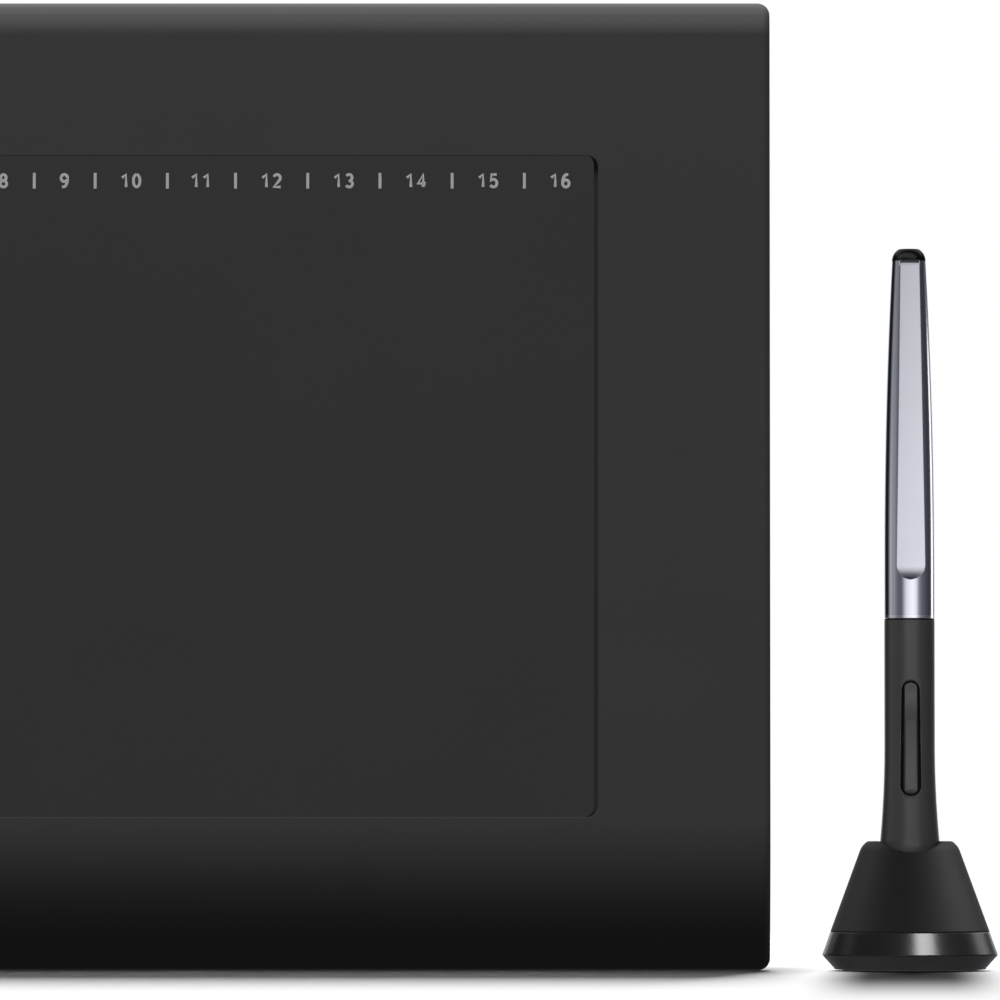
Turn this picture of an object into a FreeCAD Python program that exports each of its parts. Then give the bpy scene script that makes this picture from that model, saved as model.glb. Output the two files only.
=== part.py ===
"""Pen tablet on its lower long edge, beside its pen upright in a conical stand.

Millimetres. +Z is up, +X is right and the drawing face looks towards -Y.
The origin is the middle of the floor area that the whole set covers.
"""
import FreeCAD, Part
import math
import os
from FreeCAD import Vector

# Tablet casing
TABLET_WIDTH = 360.0
TABLET_HEIGHT = 240.0
CASE_DEPTH = 9.0
PLAN_CORNER = 3.0
FRONT_EDGE_ROUND = 2.0
BACK_EDGE_ROUND = 1.0
PALM_HEIGHT = 37.0
LAND_DEPTH = 3.5
ROLL_HEIGHT = 8.0
ROLL_DEPTH = 2.2
SHELL_WALL = 2.0
BACK_WALL = 1.8
PARTING_DEPTH = 7.0
CAVITY_FLOOR = 10.0
LIP_WALL = 1.0
LIP_REACH = 1.5
FIT_GAP = 0.1
CUT_OVER = 1.0

# Drawing sheet and what lies behind it
SHEET_THICKNESS = 0.6
SHEET_RECESS = 0.1
SHEET_CORNER = 2.5
SHEET_GAP = 0.3
SHEET_RIM_CHAMFER = 0.1
SHEET_LEFT_MARGIN = 57.8
SHEET_RIGHT_MARGIN = 42.9
SHEET_LOWER_MARGIN = 38.3
SHEET_UPPER_MARGIN = 38.4
SENSOR_MARGIN = 1.2
SENSOR_THICKNESS = 1.2
SENSOR_TOP_STRIP = 6.0
SHIELD_THICKNESS = 0.5
FOAM_THICKNESS = 0.5
RIB_WALL = 1.2
RIB_COLUMNS = 6
RIB_ROWS = 3

# Press keys on the wide left margin
KEY_GROUPS = 3
KEYS_PER_GROUP = 4
KEY_WIDTH = 16.0
KEY_HEIGHT = 9.5
KEY_PITCH = 11.5
KEY_END_INSET = 1.65
KEY_LEFT_MARGIN = 27.0
KEY_PROUD = 0.5
KEY_SIDE_GAP = 0.2
KEY_CORNER = 1.5
KEY_EDGE_ROUND = 0.4
KEY_EAR = 1.2
KEY_EAR_THICKNESS = 1.0
KEY_STEM_RADIUS = 1.5
KEY_TRAVEL = 0.5
KEY_REST_GAP = 0.05
KEY_BOARD_THICKNESS = 1.0
KEY_BOARD_MARGIN = 2.8
SWITCH_SIZE = 4.5
SWITCH_BODY = 0.55
SWITCH_BUTTON_RADIUS = 1.3

# Controller board, its socket, flat cables and status light
BOARD_THICKNESS = 1.0
BOARD_STANDOFF = 0.6
CONTROLLER_WIDTH = 78.0
CONTROLLER_HEIGHT = 28.0
CONTROLLER_LEFT_MARGIN = 14.2
CONTROLLER_TOP_MARGIN = 5.0
CONTROLLER_TAB_HEIGHT = 11.0
CHIP_HEIGHT = 1.0
LARGE_CHIP = 10.0
SMALL_CHIP = 7.0
CHIP_GAP = 12.0
PEG_RADIUS = 2.0
PEG_INSET = 3.0
SOCKET_WIDTH = 7.8
SOCKET_DEPTH = 2.9
SOCKET_LENGTH = 9.0
SOCKET_SHEET = 0.4
SOCKET_INSET = 0.8
SOCKET_RIM = 0.3
SOCKET_BACK = 2.0
TONGUE_THICKNESS = 0.6
TONGUE_SINK = 1.5
TONGUE_SIDE_GAP = 0.8
CABLE_THICKNESS = 0.25
CABLE_WIDTH = 12.0
KEY_CABLE_WIDTH = 10.0
CONNECTOR_HEIGHT = 1.0
CONNECTOR_LENGTH = 3.5
CONNECTOR_EDGE = 1.0
SENSOR_CABLE_INSET = 4.0
LIGHT_RADIUS = 1.0
LIGHT_FLANGE = 0.7
LIGHT_LENGTH = 4.2
LAMP_SIZE = 1.6
LAMP_GAP = 0.3

# Screws and feet
SCREW_INSET = 8.0
SCREW_COLUMN = 60.0
SCREW_LOW = 26.0
SCREW_HIGH_INSET = 18.0
SCREW_HEAD_RADIUS = 2.1
SCREW_HEAD_HEIGHT = 1.2
SCREW_HEAD_SINK = 2.4
SCREW_RADIUS = 1.0
SCREW_LENGTH = 3.9
SCREW_DRIVE_RADIUS = 0.8
BOSS_RADIUS = 3.25
POST_RADIUS = 2.8
BOSS_MEETING_DEPTH = 4.8
FOOT_LENGTH = 38.0
FOOT_WIDTH = 8.0
FOOT_CORNER = 3.9
FOOT_THICKNESS = 1.6
FOOT_PROUD = 1.0
FOOT_SIDE_INSET = 40.0
FOOT_END_INSET = 18.0

# Pen, with heights measured from the tip of the nib
PEN_LENGTH = 166.0
BARREL_RADIUS = 6.25
NIB_RADIUS = 0.8
NIB_SHOWING = 2.5
NIB_TRAVEL = 0.5
NIB_GAP = 0.08
COLLAR_LENGTH = 4.6
COLLAR_FRONT_RADIUS = 1.7
COLLAR_REAR_RADIUS = 3.9
COLLAR_BULGE = 0.25
COLLAR_SPIGOT_LENGTH = 1.2
COLLAR_SEAT_DEPTH = 1.85
GRIP_WIDEST_RADIUS = 7.4
GRIP_WIDEST_HEIGHT = 18.6
GRIP_NOSE_BULGE = 0.85
GRIP_FLARE_HEIGHT = 43.0
GRIP_TOP = 74.2
GRIP_WALL = 1.5
NOSE_BORE_RADIUS = 3.1
NOSE_BORE_HEIGHT = 7.0
BORE_CONE_HEIGHT = 3.0
SPIGOT_LENGTH = 8.0
SPIGOT_WALL = 0.7
SPIGOT_LEAD = 1.0
SLEEVE_WALL = 0.95
SLEEVE_STRAIGHT = 13.0
SLEEVE_TOP_RADIUS = 4.2
SEAM_CHAMFER = 0.2
CAP_HEIGHT = 3.0
CAP_TOP_RADIUS = 2.5
CAP_BULGE = 0.45
CAP_PLUG_LENGTH = 5.0
FERRITE_RADIUS = 1.9
COIL_RADIUS = 2.9
COIL_LENGTH = 7.4
CHASSIS_WALL = 1.0
CHASSIS_LENGTH = 84.0
CHASSIS_NOSE = 2.0
CHASSIS_GAP = 0.5
SENSOR_WALL = 1.0
PRESSURE_RADIUS = 2.6
PRESSURE_LENGTH = 4.5
PEN_BOARD_DEPTH = 1.0
PEN_BOARD_LENGTH = 56.0
PEN_BOARD_SINK = 0.9
SIDE_SWITCH_WIDTH = 3.2
SIDE_SWITCH_LENGTH = 2.8
SIDE_SWITCH_REACH = 7.4
SIDE_SWITCH_BUTTON = 0.65
SIDE_SWITCH_BUTTON_HEIGHT = 0.5

# Clip
CLIP_LENGTH = 79.0
CLIP_THICKNESS = 0.9
CLIP_TOP_WIDTH = 4.8
CLIP_LOW_RADIUS = 3.6
CLIP_TOP_GAP = 0.2
CLIP_LOW_GAP = 1.25
CLIP_TIP_GAP = 0.25
CLIP_BULGE = 0.6
CLIP_TURN_LENGTH = 2.4
CLIP_TURN_BULGE = 0.4
CLIP_TIP_CHAMFER = 0.36
CLIP_TURN_ROUND = 0.27
CLIP_LEG_THICKNESS = 0.85
CLIP_LEG_GAP = 0.2
CLIP_SLOT_SIDE_GAP = 0.15

# Rocker button
ROCKER_LOW = 30.3
ROCKER_HIGH = 58.8
ROCKER_LOW_RADIUS = 2.6
ROCKER_HIGH_RADIUS = 2.25
ROCKER_GAP = 0.5
ROCKER_PROUD = 0.9
ROCKER_SKIN_PROUD = 0.36
ROCKER_LOW_BULGE = 0.3
ROCKER_INSIDE = 2.05
ROCKER_RIDGE_LOW_WIDTH = 3.2
ROCKER_RIDGE_HIGH_WIDTH = 2.5
ROCKER_FLANK = 1.1
ROCKER_FLANK_WIDTH = 0.35
ROCKER_SCOOP_LENGTH = 7.2
ROCKER_SCOOP_DEPTH = 0.6
ROCKER_SWING = 2.5
PIVOT_DEPTH = 3.0
PIVOT_RADIUS = 0.5
PIVOT_GAP = 0.05
HUB_RADIUS = 0.95
HUB_WIDTH = 3.2
EAR_WALL = 1.0
EAR_LENGTH = 3.0
EAR_GAP = 0.15

# Stand, with heights measured from the floor
STAND_GAP = 12.8
STAND_HEIGHT = 32.0
STAND_RADIUS = 21.8
STAND_FOOT_RADIUS = 18.8
STAND_CHAMFER_HEIGHT = 3.9
RING_HEIGHT = 5.7
RING_EDGE = 0.3
SHOULDER_RADIUS = 12.65
SHOULDER_DROP = 3.1
SHOULDER_BULGE = 0.4
STAND_TOP_RADIUS = 10.3
STAND_WALL = 1.8
SADDLE_RADIUS = 12.0
SADDLE_DEPTH = 2.7
PEN_REST_HEIGHT = 12.9
SOCKET_GAP = 0.3
WELL_RADIUS = 3.3
WELL_DROP = 0.6
TUBE_WALL = 1.6
CONE_ROOF_DROP = 6.0
BASE_WALL = 1.4
BASE_FLOOR = 1.2
BASE_LIFT = 0.3
FOOT_ROUND = 0.3
FOOT_ROUND_BULGE = 0.08
BASE_SPIGOT_HEIGHT = 3.0
BASE_SPIGOT_INSET = 2.5
PAD_RADIUS = 16.8
PAD_THICKNESS = 1.0
WEIGHT_HEIGHT = 3.6
TRAY_FLOOR = 1.2
TRAY_RIM_HEIGHT = 4.2
TRAY_RIM_WIDTH = 4.0
NIB_CIRCLE_RADIUS = 11.4
SPARE_NIBS = 8
SPARE_NIB_LENGTH = 11.0
PULLER_RADIUS = 5.0
PULLER_THICKNESS = 1.0
SPARE_NIB_ROUND = 0.56

# Places that follow from the sizes above
SET_WIDTH = TABLET_WIDTH + STAND_GAP + 2 * STAND_RADIUS
TABLET_LEFT = -SET_WIDTH / 2
TABLET_RIGHT = TABLET_LEFT + TABLET_WIDTH
TABLET_MIDDLE = TABLET_LEFT + TABLET_WIDTH / 2
STAND_X = SET_WIDTH / 2 - STAND_RADIUS
FACE_Y = -(CASE_DEPTH + FOOT_PROUD) / 2
BACK_Y = FACE_Y + CASE_DEPTH
INNER_FACE_Y = FACE_Y + SHELL_WALL
INNER_BACK_Y = BACK_Y - BACK_WALL
PARTING_Y = FACE_Y + PARTING_DEPTH
MEETING_Y = FACE_Y + BOSS_MEETING_DEPTH
SHEET_LEFT = TABLET_LEFT + SHEET_LEFT_MARGIN
SHEET_RIGHT = TABLET_RIGHT - SHEET_RIGHT_MARGIN
SHEET_WIDTH = SHEET_RIGHT - SHEET_LEFT
SHEET_LOW = SHEET_LOWER_MARGIN
SHEET_HIGH = TABLET_HEIGHT - SHEET_UPPER_MARGIN
SHEET_HEIGHT = SHEET_HIGH - SHEET_LOW
SHEET_FRONT_Y = FACE_Y + SHEET_RECESS
SHEET_BACK_Y = SHEET_FRONT_Y + SHEET_THICKNESS
SENSOR_BACK_Y = INNER_FACE_Y + SENSOR_THICKNESS
SHIELD_BACK_Y = SENSOR_BACK_Y + SHIELD_THICKNESS
FOAM_BACK_Y = SHIELD_BACK_Y + FOAM_THICKNESS
KEY_X = TABLET_LEFT + KEY_LEFT_MARGIN
KEY_MIDDLE_Z = SHEET_LOW + SHEET_HEIGHT / 2
KEY_GROUP_HEIGHT = (KEYS_PER_GROUP - 1) * KEY_PITCH + KEY_HEIGHT
KEY_GROUP_PITCH = (SHEET_HEIGHT - 2 * KEY_END_INSET - KEY_GROUP_HEIGHT) / (KEY_GROUPS - 1)
KEY_BOARD_Y = INNER_BACK_Y - KEY_BOARD_THICKNESS
CONTROLLER_Y = INNER_BACK_Y - BOARD_STANDOFF - BOARD_THICKNESS
CONTROLLER_LEFT = TABLET_LEFT + CONTROLLER_LEFT_MARGIN
CONTROLLER_HIGH = TABLET_HEIGHT - CONTROLLER_TOP_MARGIN
CONTROLLER_LOW = CONTROLLER_HIGH - CONTROLLER_HEIGHT
SOCKET_Z = CONTROLLER_LOW + CONTROLLER_TAB_HEIGHT / 2
SENSOR_HIGH = SHEET_HIGH + SENSOR_TOP_STRIP
SLEEVE_TOP = PEN_LENGTH - CAP_HEIGHT
COLLAR_TOP = NIB_SHOWING + COLLAR_LENGTH
NOSE_BORE_TOP = COLLAR_TOP + NOSE_BORE_HEIGHT
BORE_CONE_TOP = NOSE_BORE_TOP + BORE_CONE_HEIGHT
GRIP_BORE_RADIUS = BARREL_RADIUS - GRIP_WALL
SPIGOT_RADIUS = BARREL_RADIUS - SLEEVE_WALL - FIT_GAP
CHASSIS_RADIUS = SPIGOT_RADIUS - SPIGOT_WALL - FIT_GAP
CHASSIS_LOW = BORE_CONE_TOP + CHASSIS_GAP
ROCKER_MIDDLE = (ROCKER_LOW + ROCKER_HIGH) / 2
RING_TOP = STAND_CHAMFER_HEIGHT + RING_HEIGHT
CLIP_TOP = SLEEVE_TOP - CLIP_LEG_GAP


def axis_place(radius, height):
    """A point of a round piece's outline, drawn to the right of the Z axis."""
    return Vector(radius, 0, height)


def side_place(depth, height):
    """A point of an outline seen from the side, drawn in the plane x = 0."""
    return Vector(0, depth, height)


def front_place(across, height):
    """A point of an outline seen from the front, drawn in the plane y = 0."""
    return Vector(across, 0, height)


class Outline:
    """A closed outline in one plane, drawn from point to point."""

    def __init__(self, place, *start):
        self.place = place
        self.start = place(*start)
        self.here = self.start
        self.edges = []

    def line(self, *end):
        end = self.place(*end)
        self.edges.append(Part.LineSegment(self.here, end).toShape())
        self.here = end
        return self

    def arc(self, middle, end):
        middle = self.place(*middle)
        end = self.place(*end)
        self.edges.append(Part.Arc(self.here, middle, end).toShape())
        self.here = end
        return self

    def bulge(self, end, rise):
        """An arc whose middle stands off the chord by rise, to the left of the way it runs."""
        first = self.place(1, 0)
        second = self.place(0, 1)
        chord = self.place(*end) - self.here
        run_a = chord.dot(first)
        run_b = chord.dot(second)
        length = math.hypot(run_a, run_b)
        away = first * (-run_b / length) + second * (run_a / length)
        middle = self.here + chord * 0.5 + away * rise
        return self.arc((middle.dot(first), middle.dot(second)), end)

    def face(self):
        if self.here.distanceToPoint(self.start) > 1e-6:
            self.edges.append(Part.LineSegment(self.here, self.start).toShape())
        return Part.Face(Part.Wire(self.edges))

    def spun(self):
        """The solid that the outline makes when it turns about the Z axis."""
        return self.face().revolve(Vector(0, 0, 0), Vector(0, 0, 1), 360)


def block(x_low, x_high, y_low, y_high, z_low, z_high):
    return Part.makeBox(x_high - x_low, y_high - y_low, z_high - z_low, Vector(x_low, y_low, z_low))


def plate(x_low, x_high, y_low, y_high, z_low, z_high, corner):
    """A flat plate that faces -Y, with its four corners rounded."""
    body = block(x_low, x_high, y_low, y_high, z_low, z_high)
    corners = [edge for edge in body.Edges if abs(edge.tangentAt(edge.FirstParameter).y) > 0.99]
    return body.makeFillet(corner, corners)


def rod(radius, x, z, y_low, y_high):
    """A round rod along Y."""
    return Part.makeCylinder(radius, y_high - y_low, Vector(x, y_low, z), Vector(0, 1, 0))


def column(radius, z_low, z_high):
    """A round rod along the Z axis."""
    return Part.makeCylinder(radius, z_high - z_low, Vector(0, 0, z_low))


def taper_slot(low, low_radius, high, high_radius, y_low, y_high):
    """A slot along Z with full round ends of two sizes, cut along Y."""
    low_centre = low + low_radius
    high_centre = high - high_radius
    lean = math.asin((low_radius - high_radius) / (high_centre - low_centre))
    across = math.cos(lean)
    up = math.sin(lean)
    outline = Outline(front_place, -low_radius * across, low_centre + low_radius * up)
    outline.arc((0, low), (low_radius * across, low_centre + low_radius * up))
    outline.line(high_radius * across, high_centre + high_radius * up)
    outline.arc((0, high), (-high_radius * across, high_centre + high_radius * up))
    slot = outline.face().extrude(Vector(0, y_high - y_low, 0))
    slot.translate(Vector(0, y_low, 0))
    return slot


def palm_y(height, inset):
    """Depth of the palm rest's curve at a height, for a surface inset behind it."""
    drop = CASE_DEPTH - LAND_DEPTH
    radius = (PALM_HEIGHT ** 2 + drop ** 2) / (2 * drop)
    return FACE_Y + radius - math.sqrt((radius - inset) ** 2 - (PALM_HEIGHT - height) ** 2)


def roll_y(height, inset):
    """Depth of the top roll's curve at a height, for a surface inset behind it."""
    radius = (ROLL_HEIGHT ** 2 + ROLL_DEPTH ** 2) / (2 * ROLL_DEPTH)
    rise = height - (TABLET_HEIGHT - ROLL_HEIGHT)
    return FACE_Y + radius - math.sqrt((radius - inset) ** 2 - rise ** 2)


def case_block(inset, side, low, high, back):
    """The case from side to side, with its palm curve and top roll, inset from the outer face."""
    roll_low = TABLET_HEIGHT - ROLL_HEIGHT
    palm_middle = (low + PALM_HEIGHT) / 2
    roll_middle = (roll_low + high) / 2
    outline = Outline(side_place, back, low)
    outline.line(palm_y(low, inset), low)
    outline.arc((palm_y(palm_middle, inset), palm_middle), (FACE_Y + inset, PALM_HEIGHT))
    outline.line(FACE_Y + inset, roll_low)
    outline.arc((roll_y(roll_middle, inset), roll_middle), (roll_y(high, inset), high))
    outline.line(back, high)
    body = outline.face().extrude(Vector(TABLET_WIDTH - 2 * side, 0, 0))
    body.translate(Vector(TABLET_LEFT + side, 0, 0))
    return body


def is_wall(face):
    """True for the flat edges and round corners of the case, which run along Y."""
    if isinstance(face.Surface, Part.Plane):
        return abs(face.normalAt(0, 0).y) < 0.01
    return isinstance(face.Surface, Part.Cylinder) and abs(face.Surface.Axis.y) > 0.99


def rim_edges(body, back):
    """The edges where the walls meet the front surfaces, or the flat back."""
    rim = []
    for edge in body.Edges:
        sides = body.ancestorsOfType(edge, Part.Face)
        walls = [face for face in sides if is_wall(face)]
        on_back = all(abs(vertex.Y - BACK_Y) < 1e-6 for vertex in edge.Vertexes)
        if len(sides) == 2 and len(walls) == 1 and on_back == back:
            rim.append(edge)
    return rim


def case_outside():
    """The closed outer form of the tablet, with its edges rounded."""
    body = case_block(0, 0, 0, TABLET_HEIGHT, BACK_Y)
    footprint = plate(TABLET_LEFT, TABLET_RIGHT, FACE_Y - CUT_OVER, BACK_Y + CUT_OVER, 0, TABLET_HEIGHT,
                      PLAN_CORNER)
    body = body.common(footprint).removeSplitter().Solids[0]
    body = body.makeFillet(FRONT_EDGE_ROUND, rim_edges(body, False))
    return body.makeFillet(BACK_EDGE_ROUND, rim_edges(body, True))


def case_cavity():
    return case_block(SHELL_WALL, SHELL_WALL, CAVITY_FLOOR, TABLET_HEIGHT - SHELL_WALL, INNER_BACK_Y)


def screw_places():
    """Across and up for each case screw: two rows of four and one at the middle of each side."""
    outer = TABLET_WIDTH / 2 - SCREW_INSET
    rows = (SCREW_LOW, TABLET_HEIGHT - SCREW_HIGH_INSET)
    columns = (-outer, -SCREW_COLUMN, SCREW_COLUMN, outer)
    places = [(TABLET_MIDDLE + across, up) for up in rows for across in columns]
    places.append((TABLET_MIDDLE - outer, TABLET_HEIGHT / 2))
    places.append((TABLET_MIDDLE + outer, TABLET_HEIGHT / 2))
    return places


def key_places():
    """The height of each key's centre, from the top key down."""
    heights = []
    for group in range(KEY_GROUPS):
        group_z = KEY_MIDDLE_Z + ((KEY_GROUPS - 1) / 2 - group) * KEY_GROUP_PITCH
        for key in range(KEYS_PER_GROUP):
            heights.append(group_z + ((KEYS_PER_GROUP - 1) / 2 - key) * KEY_PITCH)
    return heights


def foot_places():
    outer = TABLET_WIDTH / 2 - FOOT_SIDE_INSET
    rows = (FOOT_END_INSET, TABLET_HEIGHT - FOOT_END_INSET)
    return [(TABLET_MIDDLE + across, up) for up in rows for across in (-outer, 0, outer)]


def foot_block(across, up, y_low, y_high, gap):
    half_length = FOOT_LENGTH / 2 + gap
    half_width = FOOT_WIDTH / 2 + gap
    return plate(across - half_length, across + half_length, y_low, y_high, up - half_width, up + half_width,
                 FOOT_CORNER + gap)


def light_place():
    return KEY_X, (CONTROLLER_LOW + CONTROLLER_TAB_HEIGHT + CONTROLLER_HIGH) / 2


def sheet_plate(wider, y_back):
    """The drawing sheet's outline, wider all round, cut from before the face back to a depth."""
    return plate(SHEET_LEFT - wider, SHEET_RIGHT + wider, FACE_Y - CUT_OVER, y_back,
                 SHEET_LOW - wider, SHEET_HIGH + wider, SHEET_CORNER + wider)


def make_front_shell(outside, cavity):
    over = CUT_OVER
    front = block(TABLET_LEFT - over, TABLET_RIGHT + over, FACE_Y - over, PARTING_Y, -over,
                  TABLET_HEIGHT + over)
    shell = outside.common(front).cut(cavity)
    posts = [rod(POST_RADIUS, x, z, INNER_FACE_Y - SHELL_WALL / 4, MEETING_Y) for x, z in screw_places()]
    shell = shell.fuse(posts)
    pilot_end = INNER_BACK_Y + BACK_WALL - SCREW_HEAD_SINK - SCREW_LENGTH - FIT_GAP
    cuts = [rod(SCREW_RADIUS + FIT_GAP, x, z, pilot_end, MEETING_Y) for x, z in screw_places()]
    cuts.append(sheet_plate(SHEET_GAP, SHEET_BACK_Y))
    rim = sheet_plate(SHEET_GAP + SHEET_RIM_CHAMFER, FACE_Y + SHEET_RIM_CHAMFER)
    deep_edges = [edge for edge in rim.Edges if edge.BoundBox.YMin > FACE_Y]
    cuts.append(rim.makeChamfer(SHEET_RIM_CHAMFER, deep_edges))
    half_width = KEY_WIDTH / 2 + KEY_SIDE_GAP
    half_height = KEY_HEIGHT / 2 + KEY_SIDE_GAP
    for z in key_places():
        cuts.append(plate(KEY_X - half_width, KEY_X + half_width, FACE_Y - over, INNER_FACE_Y + over,
                          z - half_height, z + half_height, KEY_CORNER + KEY_SIDE_GAP))
    light_x, light_z = light_place()
    cuts.append(rod(LIGHT_RADIUS + FIT_GAP, light_x, light_z, FACE_Y - over, INNER_FACE_Y + over))
    half_socket = SOCKET_WIDTH / 2 + SOCKET_RIM
    cuts.append(block(TABLET_LEFT - over, TABLET_LEFT + SHELL_WALL + over,
                      CONTROLLER_Y - SOCKET_DEPTH - SOCKET_RIM, CONTROLLER_Y + SOCKET_RIM,
                      SOCKET_Z - half_socket, SOCKET_Z + half_socket))
    return shell.cut(cuts)


def lip_ring():
    """The back shell's tongue, which sits inside the front shell's walls."""
    side = SHELL_WALL + FIT_GAP
    inner = side + LIP_WALL
    over = CUT_OVER
    half_notch = CONTROLLER_TAB_HEIGHT / 2 + over
    ring = block(TABLET_LEFT + side, TABLET_RIGHT - side, PARTING_Y - LIP_REACH, INNER_BACK_Y,
                 CAVITY_FLOOR + FIT_GAP, TABLET_HEIGHT - side)
    hole = block(TABLET_LEFT + inner, TABLET_RIGHT - inner, PARTING_Y - LIP_REACH - over, INNER_BACK_Y + over,
                 CAVITY_FLOOR + FIT_GAP + LIP_WALL, TABLET_HEIGHT - inner)
    notch = block(TABLET_LEFT, TABLET_LEFT + inner + over, PARTING_Y - LIP_REACH - over,
                  INNER_BACK_Y - FIT_GAP, SOCKET_Z - half_notch, SOCKET_Z + half_notch)
    return ring.cut([hole, notch])


def rib_grid():
    """Crossed ribs that hold the foam and the shield against the sensor board."""
    inset = SHEET_WIDTH / (RIB_COLUMNS + 1)
    step_z = SHEET_HEIGHT / (RIB_ROWS + 1)
    left = SHEET_LEFT + inset
    right = SHEET_RIGHT - inset
    low = SHEET_LOW + step_z
    high = SHEET_HIGH - step_z
    half = RIB_WALL / 2
    ribs = []
    for column_number in range(RIB_COLUMNS):
        x = left + (right - left) * column_number / (RIB_COLUMNS - 1)
        ribs.append(block(x - half, x + half, FOAM_BACK_Y, INNER_BACK_Y, low, high))
    for row in range(RIB_ROWS):
        z = low + (high - low) * row / (RIB_ROWS - 1)
        ribs.append(block(left, right, FOAM_BACK_Y, INNER_BACK_Y, z - half, z + half))
    return ribs


def make_back_shell(outside, cavity):
    over = CUT_OVER
    back = block(TABLET_LEFT - over, TABLET_RIGHT + over, PARTING_Y, BACK_Y + over, -over,
                 TABLET_HEIGHT + over)
    shell = outside.common(back).cut(cavity)
    added = [lip_ring()]
    added.extend(rib_grid())
    added.extend(rod(BOSS_RADIUS, x, z, MEETING_Y, INNER_BACK_Y) for x, z in screw_places())
    peg_x = (CONTROLLER_LEFT + PEG_INSET, CONTROLLER_LEFT + CONTROLLER_WIDTH - PEG_INSET)
    peg_z = (CONTROLLER_LOW + PEG_INSET, CONTROLLER_HIGH - PEG_INSET)
    peg_y = INNER_BACK_Y - BOARD_STANDOFF
    added.extend(rod(PEG_RADIUS, x, z, peg_y, INNER_BACK_Y) for x in peg_x for z in peg_z)
    shell = shell.fuse(added).removeSplitter()
    head_y = BACK_Y - SCREW_HEAD_SINK
    cuts = []
    for x, z in screw_places():
        cuts.append(rod(SCREW_RADIUS + FIT_GAP, x, z, MEETING_Y - over, head_y + over))
        cuts.append(rod(SCREW_HEAD_RADIUS + FIT_GAP, x, z, head_y, BACK_Y + over))
    pocket_y = BACK_Y + FOOT_PROUD - FOOT_THICKNESS
    cuts.extend(foot_block(x, z, pocket_y, BACK_Y + over, FIT_GAP) for x, z in foot_places())
    return shell.cut(cuts)


def make_screws():
    screws = []
    head_y = BACK_Y - SCREW_HEAD_SINK
    for x, z in screw_places():
        head = rod(SCREW_HEAD_RADIUS, x, z, head_y, head_y + SCREW_HEAD_HEIGHT)
        shank = rod(SCREW_RADIUS, x, z, head_y - SCREW_LENGTH, head_y)
        drive = rod(SCREW_DRIVE_RADIUS, x, z, head_y + SCREW_HEAD_HEIGHT / 2, head_y + SCREW_HEAD_HEIGHT)
        screws.append(head.fuse(shank).cut(drive))
    return Part.makeCompound(screws)


def make_feet():
    top_y = BACK_Y + FOOT_PROUD
    return Part.makeCompound([foot_block(x, z, top_y - FOOT_THICKNESS, top_y, 0) for x, z in foot_places()])


def make_sheet():
    return plate(SHEET_LEFT, SHEET_RIGHT, SHEET_FRONT_Y, SHEET_BACK_Y, SHEET_LOW, SHEET_HIGH, SHEET_CORNER)


def make_sensor_board():
    margin = SENSOR_MARGIN
    board = block(SHEET_LEFT - margin, SHEET_RIGHT + margin, INNER_FACE_Y, SENSOR_BACK_Y, SHEET_LOW - margin,
                  SENSOR_HIGH)
    left, right, low = sensor_cable_place()
    connector = block(left, right, SENSOR_BACK_Y, SENSOR_BACK_Y + CONNECTOR_HEIGHT, low,
                      low + CONNECTOR_LENGTH)
    return board.fuse(connector)


def sensor_cable_place():
    """Left, right and lower edge of the connector on the sensor board's upper strip."""
    left = SHEET_LEFT + SENSOR_CABLE_INSET
    return left, left + CABLE_WIDTH, SHEET_HIGH + CONNECTOR_EDGE


def key_cable_place():
    """Left, right and lower edge of the connector at the top of the key board."""
    low = key_board_high() - CONNECTOR_LENGTH - SWITCH_BODY / 2
    return KEY_X - KEY_CABLE_WIDTH / 2, KEY_X + KEY_CABLE_WIDTH / 2, low


def key_board_high():
    return key_places()[0] + SWITCH_SIZE / 2 + CONNECTOR_LENGTH + SWITCH_BODY


def flat_cable(place, front_y):
    """A flat cable from one connector's face up to the controller board's connector."""
    left, right, low = place
    far_y = CONTROLLER_Y - CONNECTOR_HEIGHT
    far_low = CONTROLLER_LOW + CONNECTOR_EDGE
    thick = CABLE_THICKNESS
    high = low + CONNECTOR_LENGTH
    outline = Outline(side_place, front_y, low)
    outline.line(front_y, high)
    outline.line(far_y, far_low)
    outline.line(far_y, far_low + CONNECTOR_LENGTH)
    outline.line(far_y - thick, far_low + CONNECTOR_LENGTH)
    outline.line(far_y - thick, far_low)
    outline.line(front_y - thick, high)
    outline.line(front_y - thick, low)
    cable = outline.face().extrude(Vector(right - left, 0, 0))
    cable.translate(Vector(left, 0, 0))
    return cable


def make_sensor_cable():
    """It runs over the back of the sensor's connector, so it lies one thickness behind that face."""
    return flat_cable(sensor_cable_place(), SENSOR_BACK_Y + CONNECTOR_HEIGHT + CABLE_THICKNESS)


def make_key_cable():
    return flat_cable(key_cable_place(), KEY_BOARD_Y - CONNECTOR_HEIGHT)


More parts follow.
